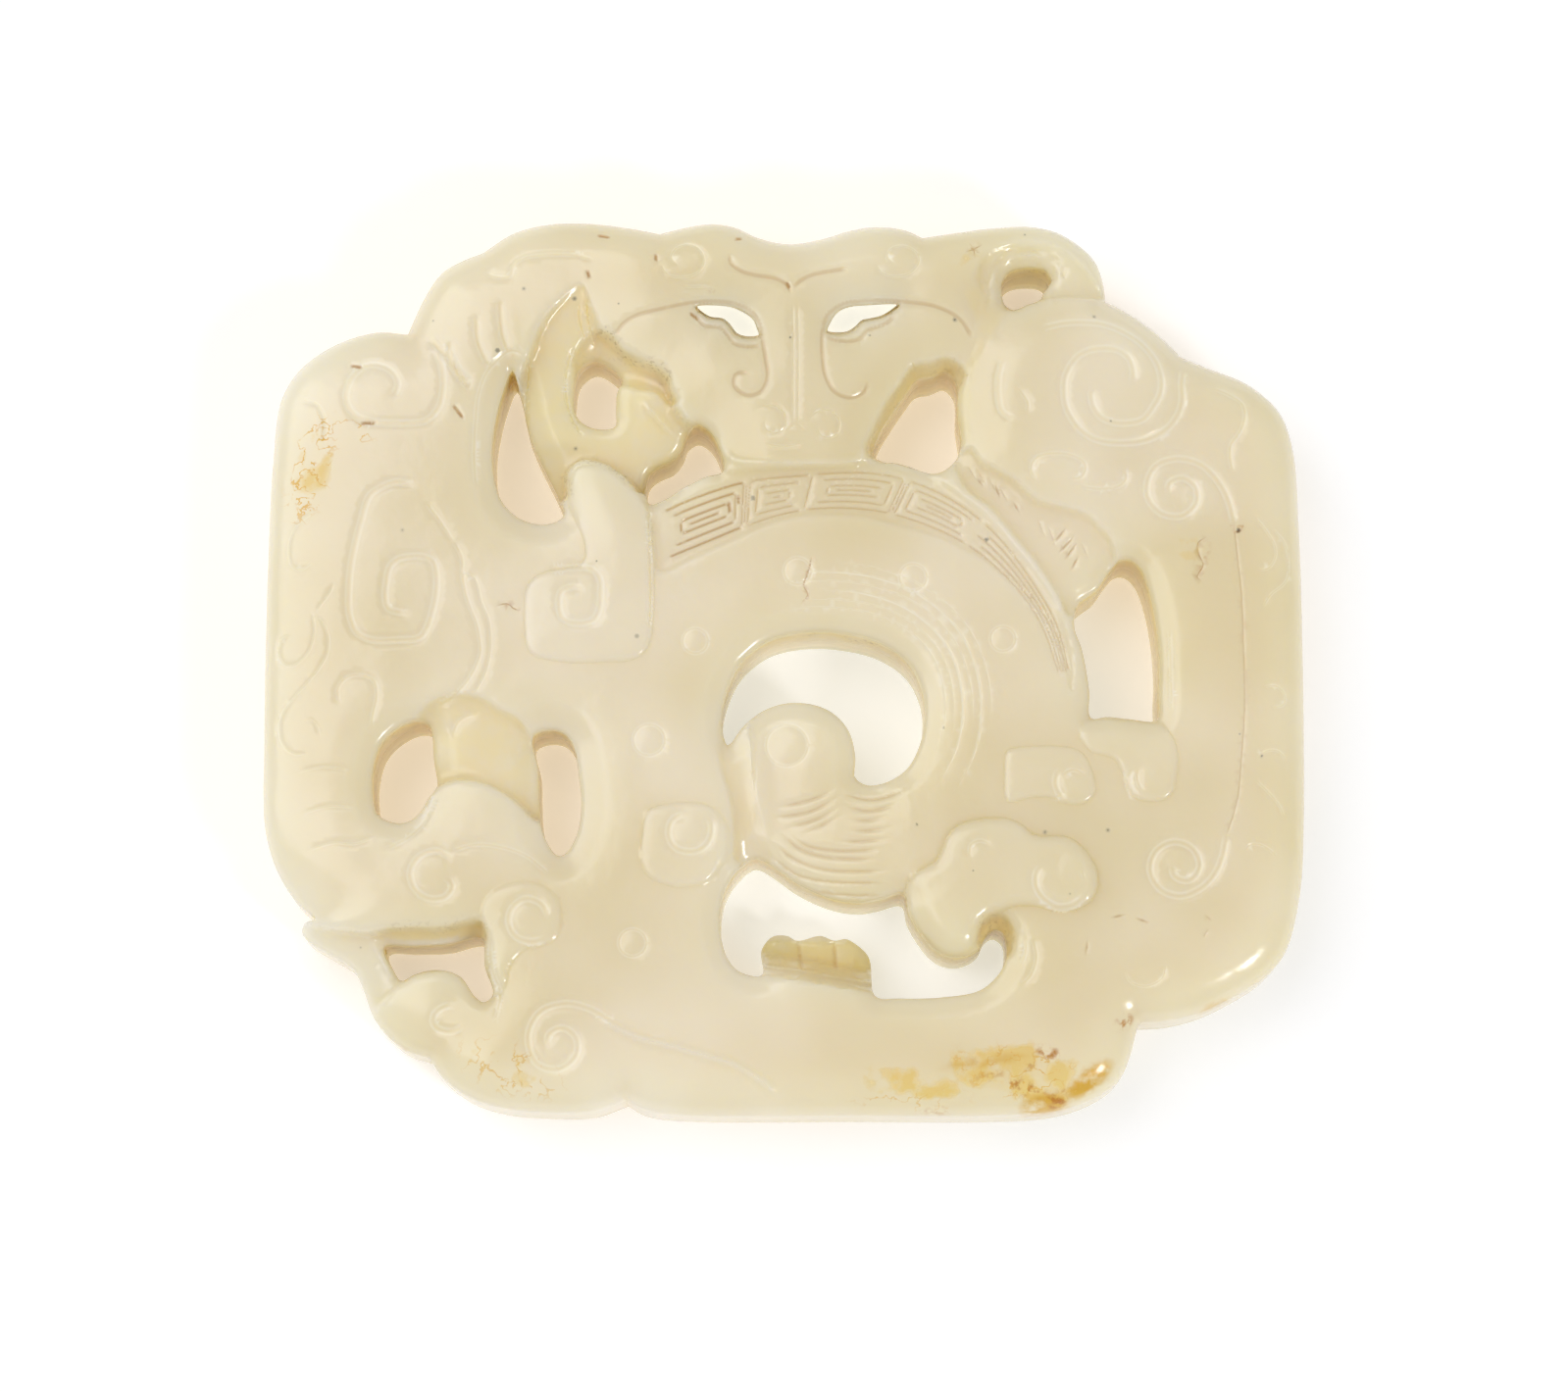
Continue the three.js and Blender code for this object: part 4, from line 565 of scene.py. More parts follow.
def insideOf(places, loop):
    inside = np.zeros(len(places), bool)
    near = np.flatnonzero(np.all((places > loop.min(0)) & (places < loop.max(0)), axis=1))
    following = np.roll(loop, -1, 0)
    for block in np.array_split(near, max(1, len(near) * len(loop) // 8000000)):
        x, y = places[block, 0, None], places[block, 1, None]
        crosses = (loop[:, 1] > y) != (following[:, 1] > y)
        rise = np.where(following[:, 1] == loop[:, 1], 1, following[:, 1] - loop[:, 1])
        slope = (following[:, 0] - loop[:, 0]) / rise
        inside[block] = (crosses & (x < loop[:, 0] + slope * (y - loop[:, 1]))).sum(1) % 2 == 1
    return inside


# How deep inside a loop each place lies, negative outside it
def depthIn(places, loop, reach):
    far = distanceTo(places, loop, reach, closed=True)[0]
    return np.where(insideOf(places, loop), np.minimum(far, reach), -far)


def ease(t):
    t = np.clip(t, 0, 1)
    return t * t * (3 - 2 * t)


# A quarter circle: 0 at the edge, where it starts upright, and 1 where it runs level
def quarter(t):
    return np.sqrt(np.clip(1 - (1 - np.clip(t, 0, 1))**2, 0, 1))


def offsetLine(line, distance, closed=False):
    if closed:
        heading = np.roll(line, -1, 0) - np.roll(line, 1, 0)
    else:
        heading = np.gradient(line, axis=0)
    heading /= np.maximum(np.hypot(*heading.T), 1e-9)[:, None]
    return line + np.column_stack([-heading[:, 1], heading[:, 0]]) * distance


curveStep = plaque["lineStep"]
outline = np.vstack([curveOf(lobe, plaque["edgeStep"])[:-1] for lobe in lobes])[::-1]
if areaOf(outline) < 0:
    outline = outline[::-1]
loops = {}
for name, window in windows.items():
    loop = curveOf(window["loop"], plaque["edgeStep"], closed=True)
    loops[name] = loop[::-1] if areaOf(loop) > 0 else loop
regionLoops = {r["name"]: curveOf(r["loop"], curveStep, closed=True) for r in regions}


# The keyfret band lies between an outer and an inner line, and is cut with nested square hooks in cells
# that end at these shares of its length
fret = {
    "ends": [0.012, 0.185, 0.31, 0.49, 0.66], "hooks": 3, "inset": 0.09, "apart": 0.15, "apartAlong": 0.0155,
    "wide": 0.25, "deep": 0.1, "taper": 0.2, "rows": 5,
    "dirt": 0.2, "dirtLeft": 0.35, "dirtFrom": -3, "dirtSpan": 6,           # browner towards the left end
}
bandOuter = curveOf([
    (-12.4, 14.6), (-9, 16.2), (-4, 17.8), (2, 18.4), (9, 18.6), (14, 17.2), (18, 14.8), (21, 12),
    (24, 7.8), (26.4, 3.4), (27.6, -1.6)], 0.1)
bandInner = curveOf([
    (-11.8, 9.2), (-7, 11.2), (-3, 12.9), (2, 14.3), (8, 14.3), (12.6, 13.2), (16.4, 11.6), (19.6, 9.4),
    (22.4, 6.6), (24.6, 3.2), (26.4, -1.8)], 0.1)


def inBand(along, across):
    inner, outer = ([np.interp(along, np.linspace(0, 1, len(side)), side[:, k]) for k in (0, 1)]
                    for side in (bandInner, bandOuter))
    return np.array(inner) * (1 - across) + np.array(outer) * across


def bandLine(corners):
    made = []
    for (a, b), (c, d) in zip(corners, corners[1:]):
        count = max(3, round(1.1 * math.dist(inBand(a, b), inBand(c, d)) / curveStep))
        made.append(np.array([inBand(a + (c - a) * s, b + (d - b) * s)
                              for s in np.linspace(0, 1, count + 1)]))
    return made


# The outer hooks of a cell open left and right by turns, and its inmost one opens the other way. Plain
# lines then follow the coil.
def fretLines():
    made = []
    for cell, (first, last) in enumerate(zip(fret["ends"], fret["ends"][1:])):
        for hook in range(fret["hooks"]):
            inset = fret["inset"] + fret["apart"] * hook
            near, far = (first + fret["apartAlong"] * (hook + 0.4), last - fret["apartAlong"] * (hook + 0.4))
            inmost = hook == fret["hooks"] - 1
            shut, ajar = (near, far) if (cell + inmost) % 2 else (far, near)
            made += bandLine([(ajar, 1 - inset), (shut, 1 - inset), (shut, inset), (ajar, inset)])
            if inmost:
                made += bandLine([(near + fret["apartAlong"], 0.5), (far - fret["apartAlong"], 0.5)])
        if cell:
            made += bandLine([(first, 0.12), (first, 0.88)])
    for row in range(fret["rows"]):
        start = fret["ends"][-1] + 0.02 * (row % 2)
        made += bandLine([(start, (row + 0.5) / fret["rows"]), (0.99, (row + 0.5) / fret["rows"])])
    return made


# Fine lines that run round the coil beside the crescent window
coilLines = {"rows": 8, "apart": 0.4, "line": [
    (-1, 4.8), (3, 5.1), (7.6, 4.7), (11.4, 3.2), (14.2, 0.4), (15.4, -3.6), (15, -7.8), (13.2, -11.4)]}
coilCut = {"wide": 0.18, "deep": 0.015, "flat": 0.2, "taper": 3.0}

# Every cut as a curve with its sizes, where a ridge is a cut with a negative depth
strokes = []
for style in cuts:
    sizes = {key: value for key, value in style.items() if key not in ("name", "lines")}
    for line in style["lines"]:
        strokes.append({**plainCut, **sizes, "line": curveOf(line, curveStep)})
for style in ridges:
    for line in style["lines"]:
        strokes.append({**plainCut, "wide": style["wide"], "deep": -style["tall"], "flat": 0.0, "taper": 1.0,
                        "line": curveOf(line, curveStep)})
for line in fretLines():
    leftShare = float(ease((fret["dirtFrom"] - line.mean(0)[0] / unit) / fret["dirtSpan"]))
    strokes.append({**plainCut, "wide": fret["wide"], "deep": fret["deep"], "taper": fret["taper"],
                    "dirt": fret["dirtLeft"] * leftShare + fret["dirt"], "line": line})
for row in range(coilLines["rows"]):
    line = curveOf(coilLines["line"], curveStep)
    line = offsetLine(line, (row + 0.4 * (row % 3)) * coilLines["apart"])
    line = line[5 * (row % 4):len(line) - 8 * ((row + 1) % 3)]          # they start and end unevenly
    strokes.append({**plainCut, **coilCut, "line": line})
for x, y, radius in rings:
    turn = np.linspace(0, 2 * math.pi, 61)
    circle = np.column_stack([np.cos(turn), np.sin(turn)]) * radius * unit + np.array([x, y]) * unit
    strokes.append({**plainCut, **ringCut, "line": circle})


# Places round a point over which a soft edge is averaged
softening = [np.zeros(2)] + [plaque["softReach"] * np.array([math.cos(t), math.sin(t)])
                             for t in np.arange(8) * math.pi / 4]


def levelAt(places, level):
    if isinstance(level, tuple):
        height, x, y, alongX, alongY = level
        return height + (places[:, 0] / unit - x) * alongX + (places[:, 1] / unit - y) * alongY
    return np.full(len(places), float(level))


# How age and light mark the carving, in millimetres or as shares
wear = {
    "cliffWidth": 0.35,     # the band of grains along the top of a wall
    "cliffFrom": 1.2,       # walls lower than this have none
    "cliffSpan": 2.5,
    "goldenEdge": 0.5,      # the tint of a sunk floor comes in over this width: partly its real yellow-gold staining, partly a painted warm glow in its shade
    "goldenStart": 0.3,
    "bankRise": 1.6,        # how the painted highlight on the banks of a cut and the dirt on its floor come in
    "bankStart": 0.16,
    "dirtRise": 1.4,
    "dirtStart": 0.2,
    "dirtDulls": 3,
    "sideFrom": 2,          # dirt and colour keep to the upper part of every side: none up to this height
    "sideSpan": 6,          # and all of it so much higher
    "wallLeast": 0.15,      # tint at the foot of a window's wall: partly real yellow-gold staining, partly a painted glow of light through the stone
    "wallMore": 0.75,
    "paleWidth": 4.5,       # the rim is painted paler over this width, as light through the thin stone, and the left flank more so, as a painted sheen
    "paleRim": 0.12,
    "paleLeft": 0.5,
    "paleFrom": 36,
    "paleSpan": 10,
    "paleRaised": 0.15,     # as are the raised members, as painted light
    "raisedFrom": 0.2,
    "raisedSpan": 0.35,
}


# Height of the carved face over each place, with what the finish needs to know about it
def carve(places):
    x, y = places[:, 0] / unit, places[:, 1] / unit
    height = np.full(len(places), field)
    steep, low, dirt, paintedHighlight = (np.zeros(len(places)) for _ in range(4))
    for region in regions:
        edge, over, soft = region["edge"], region.get("over", 0.0), region.get("soft")
        loop = regionLoops[region["name"]]
        inside = depthIn(places, loop, plaque["regionReach"])
        if soft:
            profile = sum(ease(depthIn(places + shift, loop, edge) / edge) for shift in softening)
            profile = profile / len(softening)
        else:
            profile = quarter(inside / edge)
        level = levelAt(places, region["level"])
        if region["how"] == "raise":
            height += np.maximum(level - height, 0) * profile
            height += plaque["memberSwell"] * ease(inside / plaque["swellWidth"]) * (0 if soft else 1)
        else:
            fall = np.maximum(height - level, 0)
            lip = 0
            if over:
                lip = np.minimum(plaque["lipShare"] * fall, plaque["lipMost"]) * (1 - quarter(-inside / over))
            if soft:
                height -= fall * profile
            else:
                height -= np.where(inside > 0, lip + (fall - lip) * profile, lip * (inside > -over))
            cliff = np.exp(-(inside / wear["cliffWidth"])**2) * (0 if soft else 1)
            cliff = cliff * np.clip((fall - wear["cliffFrom"]) / wear["cliffSpan"], 0, 1)
            steep = np.maximum(steep * (inside < 0.1), cliff)
            # A painted warm glow in the shade of a sunk floor, over its real yellow-gold staining
            tint = region.get("goldenAndGlow", 0) * ease(inside / wear["goldenEdge"] + wear["goldenStart"])
            low = np.maximum(low * (inside < 0.1), tint)
    for cx, cy, radius, tall in domes:
        far = np.hypot(x - cx, y - cy) / radius
        height += tall * np.sqrt(np.clip(1 - far**2, 0, 1))
    for stroke in strokes:
        wide, slant = stroke["wide"], stroke["slant"]
        far, side, toEnd = distanceTo(places, stroke["line"], wide * slant + 0.05)
        reach = np.where(side > 0, wide * slant, wide) / 2
        cut = 1 - ease((far - stroke["flat"] * reach) / ((1 - stroke["flat"]) * reach))
        cut *= plaque["cutEnd"] + (1 - plaque["cutEnd"]) * ease(toEnd / stroke["taper"])
        height -= stroke["deep"] * cut
        if stroke["deep"] > 0:
            # Painted highlight: the banks of the cut are tinted near-white
            bank = np.clip(wear["bankRise"] * far / reach - wear["bankStart"], 0, 1) * (far < reach)
            bank = bank * max(0, 1 - wear["dirtDulls"] * stroke["dirt"])
            paintedHighlight = np.maximum(paintedHighlight, bank * ease(toEnd / stroke["taper"]))
            browned = np.clip(wear["dirtRise"] * cut - wear["dirtStart"], 0, 1)
            dirt = np.maximum(dirt, stroke["dirt"] * browned)
    for name, window in windows.items():
        far = distanceTo(places, loops[name], plaque["pillowWidth"], closed=True)[0]
        height -= window["fall"] * np.clip(1 - far / window["bevel"], 0, 1)
        height -= plaque["edgeDrop"] * (1 - quarter(far / plaque["edgeWidth"]))
        height -= plaque["pillowFall"] * (1 - ease(far / plaque["pillowWidth"]))
    far = distanceTo(places, outline, plaque["bodyPillow"], closed=True)[0]
    height -= 2 * plaque["pillowFall"] * (1 - ease(far / plaque["bodyPillow"]))
    left = ease((-x - plaque["leftFrom"]) / plaque["leftFrom"])
    width = plaque["rimWidth"] + plaque["leftPillow"] * left
    most = np.maximum(height - plaque["rimFoot"], plaque["rimLeast"])
    fall = np.minimum(plaque["rimFall"], most)
    height -= fall * (1 - quarter(far / width)) * (far < width)
    return height, {"steep": steep, "low": low, "dirt": dirt, "paintedHighlight": paintedHighlight}


# Points of the face. Earlier ones keep later ones at a distance.
class Scatter:
    def __init__(self):
        self.kept = []
        self.count = 0

    def add(self, places, apart, clearOf):
        if self.count and clearOf:
            tree = KDTree(self.count)
            for i, p in enumerate(np.vstack(self.kept)):
                tree.insert((p[0], p[1], 0), i)
            tree.balance()
            free = [tree.find((p[0], p[1], 0))[2] >= clearOf for p in places]
            places = places[free]
        if apart and len(places):
            cell = np.floor(places / apart).astype(np.int64)
            _, first = np.unique(cell[:, 0] * 1000003 + cell[:, 1], return_index=True)
            places = places[np.sort(first)]
        self.kept.append(places)
        self.count += len(places)


def materialAt(places, margin):
    keep = insideOf(places, outline)
    keep &= distanceTo(places, outline, margin + 0.1, closed=True)[0] > margin
    for loop in loops.values():
        keep &= ~insideOf(places, loop)
        keep &= distanceTo(places, loop, margin + 0.1, closed=True)[0] > margin
    return keep


def facePoints():
    scatter = Scatter()
    borders = [outline, *loops.values()]
    for border in borders:
        scatter.add(border, 0, 0)
    for distance, apart in plaque["edgeRows"]:
        rows = np.vstack([offsetLine(border, distance, closed=True) for border in borders])
        rows = rows[materialAt(rows, distance * 0.8)]
        scatter.add(rows, apart, min(distance * 0.75, 0.15))
    rows = [offsetLine(loop, d, closed=True) for loop in regionLoops.values() for d in plaque["regionRows"]]
    fine = np.vstack(rows)
    scatter.add(fine[materialAt(fine, 0.06)], 0.13, 0.1)
    rows = []
    for stroke in strokes:
        reach = stroke["wide"] / 2
        left, floor = reach * stroke["slant"], max(stroke["flat"], 0.5)
        rows += [offsetLine(stroke["line"], d)
                 for d in (0, -reach * floor, left * floor, -reach * 1.02, left * 1.02)]
    fine = np.vstack(rows)
    scatter.add(fine[materialAt(fine, 0.06)], 0.06, 0.055)
    spots = np.array([p[:2] for p in specks]) * unit
    turn = np.linspace(0, 2 * math.pi, 7)[:-1]
    spots = np.vstack([spots] + [spots + r * np.array([math.cos(t), math.sin(t)])
                                 for r in (0.1, 0.22) for t in turn])
    scatter.add(spots[materialAt(spots, 0.06)], 0.05, 0.06)
    step = plaque["fillStep"]
    xs, ys = np.meshgrid(np.arange(low[0] / mm, high[0] / mm, step),
                         np.arange(low[1] / mm, high[1] / mm, step * 0.87))
    xs = xs + (np.arange(len(xs)) % 2)[:, None] * step / 2
    grid = np.column_stack([xs.ravel(), ys.ravel()])
    scatter.add(grid[materialAt(grid, 0.15)], 0, step * 0.62)
    return np.vstack(scatter.kept), borders


# Triangles between the borders, anticlockwise from above, and the number of each border's points
def spanned(points, borders):
    edges = []
    first = 0
    for border in borders:
        count = len(border)
        edges += [(first + i, first + (i + 1) % count) for i in range(count)]
        first += count
    made = delaunay_2d_cdt([Vector(p) for p in points.tolist()], edges, [], 0, 1e-7, False)
    verts = np.array([tuple(v) for v in made[0]])
    tris = np.array(made[2])
    middle = verts[tris].mean(1)
    keep = insideOf(middle, borders[0])
    for border in borders[1:]:
        keep &= ~insideOf(middle, border)
    tris = tris[keep]
    a, b, c = verts[tris[:, 0]], verts[tris[:, 1]], verts[tris[:, 2]]
    turn = (b[:, 0] - a[:, 0]) * (c[:, 1] - a[:, 1]) - (b[:, 1] - a[:, 1]) * (c[:, 0] - a[:, 0])
    tris[turn < 0] = tris[turn < 0][:, ::-1]
    tree = KDTree(len(verts))
    for i, v in enumerate(verts):
        tree.insert((v[0], v[1], 0), i)
    tree.balance()
    numbers = [np.array([tree.find((p[0], p[1], 0))[1] for p in border]) for border in borders]
    return verts, tris, numbers


# How far a border's point can move sideways before it passes the centre of its own bend
def roomToMove(border, offset):
    before = border - np.roll(border, 1, 0)
    after = np.roll(border, -1, 0) - border
    turn = np.arctan2(before[:, 0] * after[:, 1] - before[:, 1] * after[:, 0], (before * after).sum(1))
    turn = np.convolve(np.concatenate([turn[-2:], turn, turn[:2]]), np.ones(5) / 5, "valid")
    bend = np.hypot(*before.T) / np.where(np.abs(turn) < 1e-6, 1e-6, turn)
    return np.where(bend > 0, np.minimum(offset, 0.8 * np.abs(bend)), offset)


# What the finish reads from each point, from 0 to 1
def finishMarks(verts, walls, faceMarks):
    marks = {}
    for name, values in faceMarks.items():
        marks[name] = np.concatenate([values, np.zeros(len(verts) - len(values))])
    upper = ease((verts[:, 2] - wear["sideFrom"]) / wear["sideSpan"])
    marks["wall"] = walls * (wear["wallLeast"] + wear["wallMore"] * upper)
    x, y = verts[:, 0] / unit, verts[:, 1] / unit
    coloured = {"stain": stains, "vein": veins, "gold": golds, "russet": russets, "speck": specks}
    for name, patches in coloured.items():
        marks[name] = np.zeros(len(verts))
        for px, py, wide, tall, turn, strength in patches:
            across = (x - px) * math.cos(math.radians(turn)) + (y - py) * math.sin(math.radians(turn))
            along = (y - py) * math.cos(math.radians(turn)) - (x - px) * math.sin(math.radians(turn))
            patch = ease((1 - np.hypot(across / wide, along / tall)) * 2) * strength
            marks[name] = np.maximum(marks[name], patch * upper)
    far = distanceTo(verts[:, :2], outline, 6.0, closed=True)[0]
    # Painted light: the rim paler where light would come through thin stone, a painted sheen on the left
    # flank, and raised members paler
    left = ease((-x - wear["paleFrom"]) / wear["paleSpan"])
    rim = (1 - ease(far / wear["paleWidth"])) * (wear["paleRim"] + wear["paleLeft"] * left)
    raised = ease((verts[:, 2] - field - wear["raisedFrom"]) / wear["raisedSpan"])
    marks["pale"] = np.maximum(rim, wear["paleRaised"] * raised)
    return marks


# The face, the walls of the rim and the windows, and the back, as one closed skin
def makeMesh():
    points, borders = facePoints()
    front, frontTris, frontBorders = spanned(points, borders)
    print("face points", len(front), "triangles", len(frontTris))
    height, marks = carve(front)
    verts = [np.column_stack([front, height])]
    tris = [frontTris]
    walls = [np.zeros(len(front))]
    total = len(front)
    backLoops, backNumbers = [], []
    names = ["outline", *windows]
    for name, border, top in zip(names, borders, frontBorders):
        count = len(border)
        isRim = name == "outline"
        curl = plaque["backRound"] if isRim else plaque["windowBack"]
        inward = roomToMove(border, curl)
        topHeight = height[top]
        lean = np.array([0, plaque["eyeLean"]]) if windows.get(name, {}).get("lean") else np.zeros(2)
        turns = [0, 30, 60, 90] if isRim else [0, 45, 90]
        levels = [(topHeight + (curl - topHeight) * share, 0.0) for share in plaque["sideRows"]]
        for angle in turns:
            turned = math.radians(angle)
            levels.append((np.full(count, curl * (1 - math.sin(turned))), 1 - math.cos(turned)))
        above = top
        for number, (level, moved) in enumerate(levels):
            heading = np.roll(border, -1, 0) - np.roll(border, 1, 0)
            heading /= np.hypot(*heading.T)[:, None]
            place = border + np.column_stack([-heading[:, 1], heading[:, 0]]) * (inward * moved)[:, None]
            place = place + lean * (1 - level / face)[:, None]
            here = total + np.arange(count)
            if number == len(levels) - 1:
                backLoops.append(place)
                backNumbers.append(here)
            verts.append(np.column_stack([place, level]))
            walls.append(np.full(count, 0.0 if isRim else 1.0))
            ahead, below = np.roll(above, -1), np.roll(here, -1)
            tris.append(np.vstack([np.column_stack([above, here, below]),
                                   np.column_stack([above, below, ahead])]))
            total += count
            above = here
    step = plaque["backStep"]
    xs, ys = np.meshgrid(np.arange(low[0] / mm, high[0] / mm, step),
                         np.arange(low[1] / mm, high[1] / mm, step))
    grid = np.column_stack([xs.ravel(), ys.ravel()])
    inner = insideOf(grid, backLoops[0]) & (distanceTo(grid, backLoops[0], step, closed=True)[0] > step * 0.5)
    for loop in backLoops[1:]:
        inner &= ~insideOf(grid, loop) & (distanceTo(grid, loop, step, closed=True)[0] > step * 0.5)
    back, backTris, numbers = spanned(np.vstack(backLoops + [grid[inner]]), backLoops)
    match = np.arange(len(back)) + total
    used = np.concatenate(numbers)
    match[used] = np.concatenate(backNumbers)
    fresh = np.setdiff1d(np.arange(len(back)), used)
    match[fresh] = total + np.arange(len(fresh))
    verts.append(np.column_stack([back[fresh], np.zeros(len(fresh))]))
    walls.append(np.zeros(len(fresh)))
    tris.append(match[backTris][:, ::-1])
    verts, tris, walls = np.vstack(verts), np.vstack(tris), np.concatenate(walls)
    print("points", len(verts), "triangles", len(tris))
    return verts, tris, finishMarks(verts, walls, marks)


def jadePiece():
    verts, tris, marks = makeMesh()
    mesh = bpy.data.meshes.new("jadeCarving")
    mesh.vertices.add(len(verts))
    mesh.vertices.foreach_set("co", (verts * mm).ravel())
    mesh.loops.add(tris.size)
    mesh.loops.foreach_set("vertex_index", tris.ravel())
    mesh.polygons.add(len(tris))
    mesh.polygons.foreach_set("loop_start", np.arange(0, tris.size, 3))
    mesh.update(calc_edges=True)
    mesh.validate()
    for name, values in marks.items():
        mesh.attributes.new(name, "FLOAT", "POINT").data.foreach_set("value", values.astype(np.float32))
    piece = bpy.data.objects.new("jadeCarving", mesh)
    bpy.context.collection.objects.link(piece)
    bpy.ops.object.select_all(action="DESELECT")
    piece.select_set(True)
    bpy.context.view_layer.objects.active = piece
    bpy.ops.object.shade_smooth_by_angle(angle=math.radians(50))
    return piece


def linear(hexColour):
    parts = [int(hexColour[i:i + 2], 16) / 255 for i in (1, 3, 5)]
    return tuple(c / 12.92 if c <= 0.04045 else ((c + 0.055) / 1.055)**2.4 for c in parts) + (1.0,)


# Adds a node with its settings, and links what is given for its inputs
def addNode(tree, kind, settings=None, **links):
    node = tree.nodes.new(kind)
    for key, value in (settings or {}).items():
        if hasattr(node, key):
            setattr(node, key, value)
        else:
            node.inputs[key].default_value = value
    for key, source in links.items():
        target = node.inputs[int(key[1:])] if key[0] == "i" and key[1:].isdigit() else node.inputs[key]
        tree.links.new(source, target)
    return node


# Nephrite, carved and polished with grit. Light goes a little way into the pale stone and comes back soft
# and creamy, and the polish gives it a waxy gloss that is never quite even. Lengths are in millimetres.
finish = {
    "ior": 1.61,
    "scatter": 4.6,         # light wanders this far in the stone
    "scatterShare": 0.82,
    "polished": 0.2,        # roughness of the face, and of stained stone and the windows' walls
    "worn": 0.5,
    "cloud": "#F0E6CE", "deepCloud": "#E7DAB5", "pale": "#F4EEDD", "paintedHighlight": "#FDFAF0", "giltAndGlow": "#F3E094",
    "grain": "#86642A", "dirt": "#B27E30", "wash": "#E6CB74", "gold": "#D8AE40", "vein": "#E0B858",
    "russet": "#C08428", "speck": "#3C3B36",
    "swell": 0.12,          # strengths of the unevenness that the polish leaves: broad, fine and brushed
    "wave": 0.1,
    "brushed": 0.12,
}


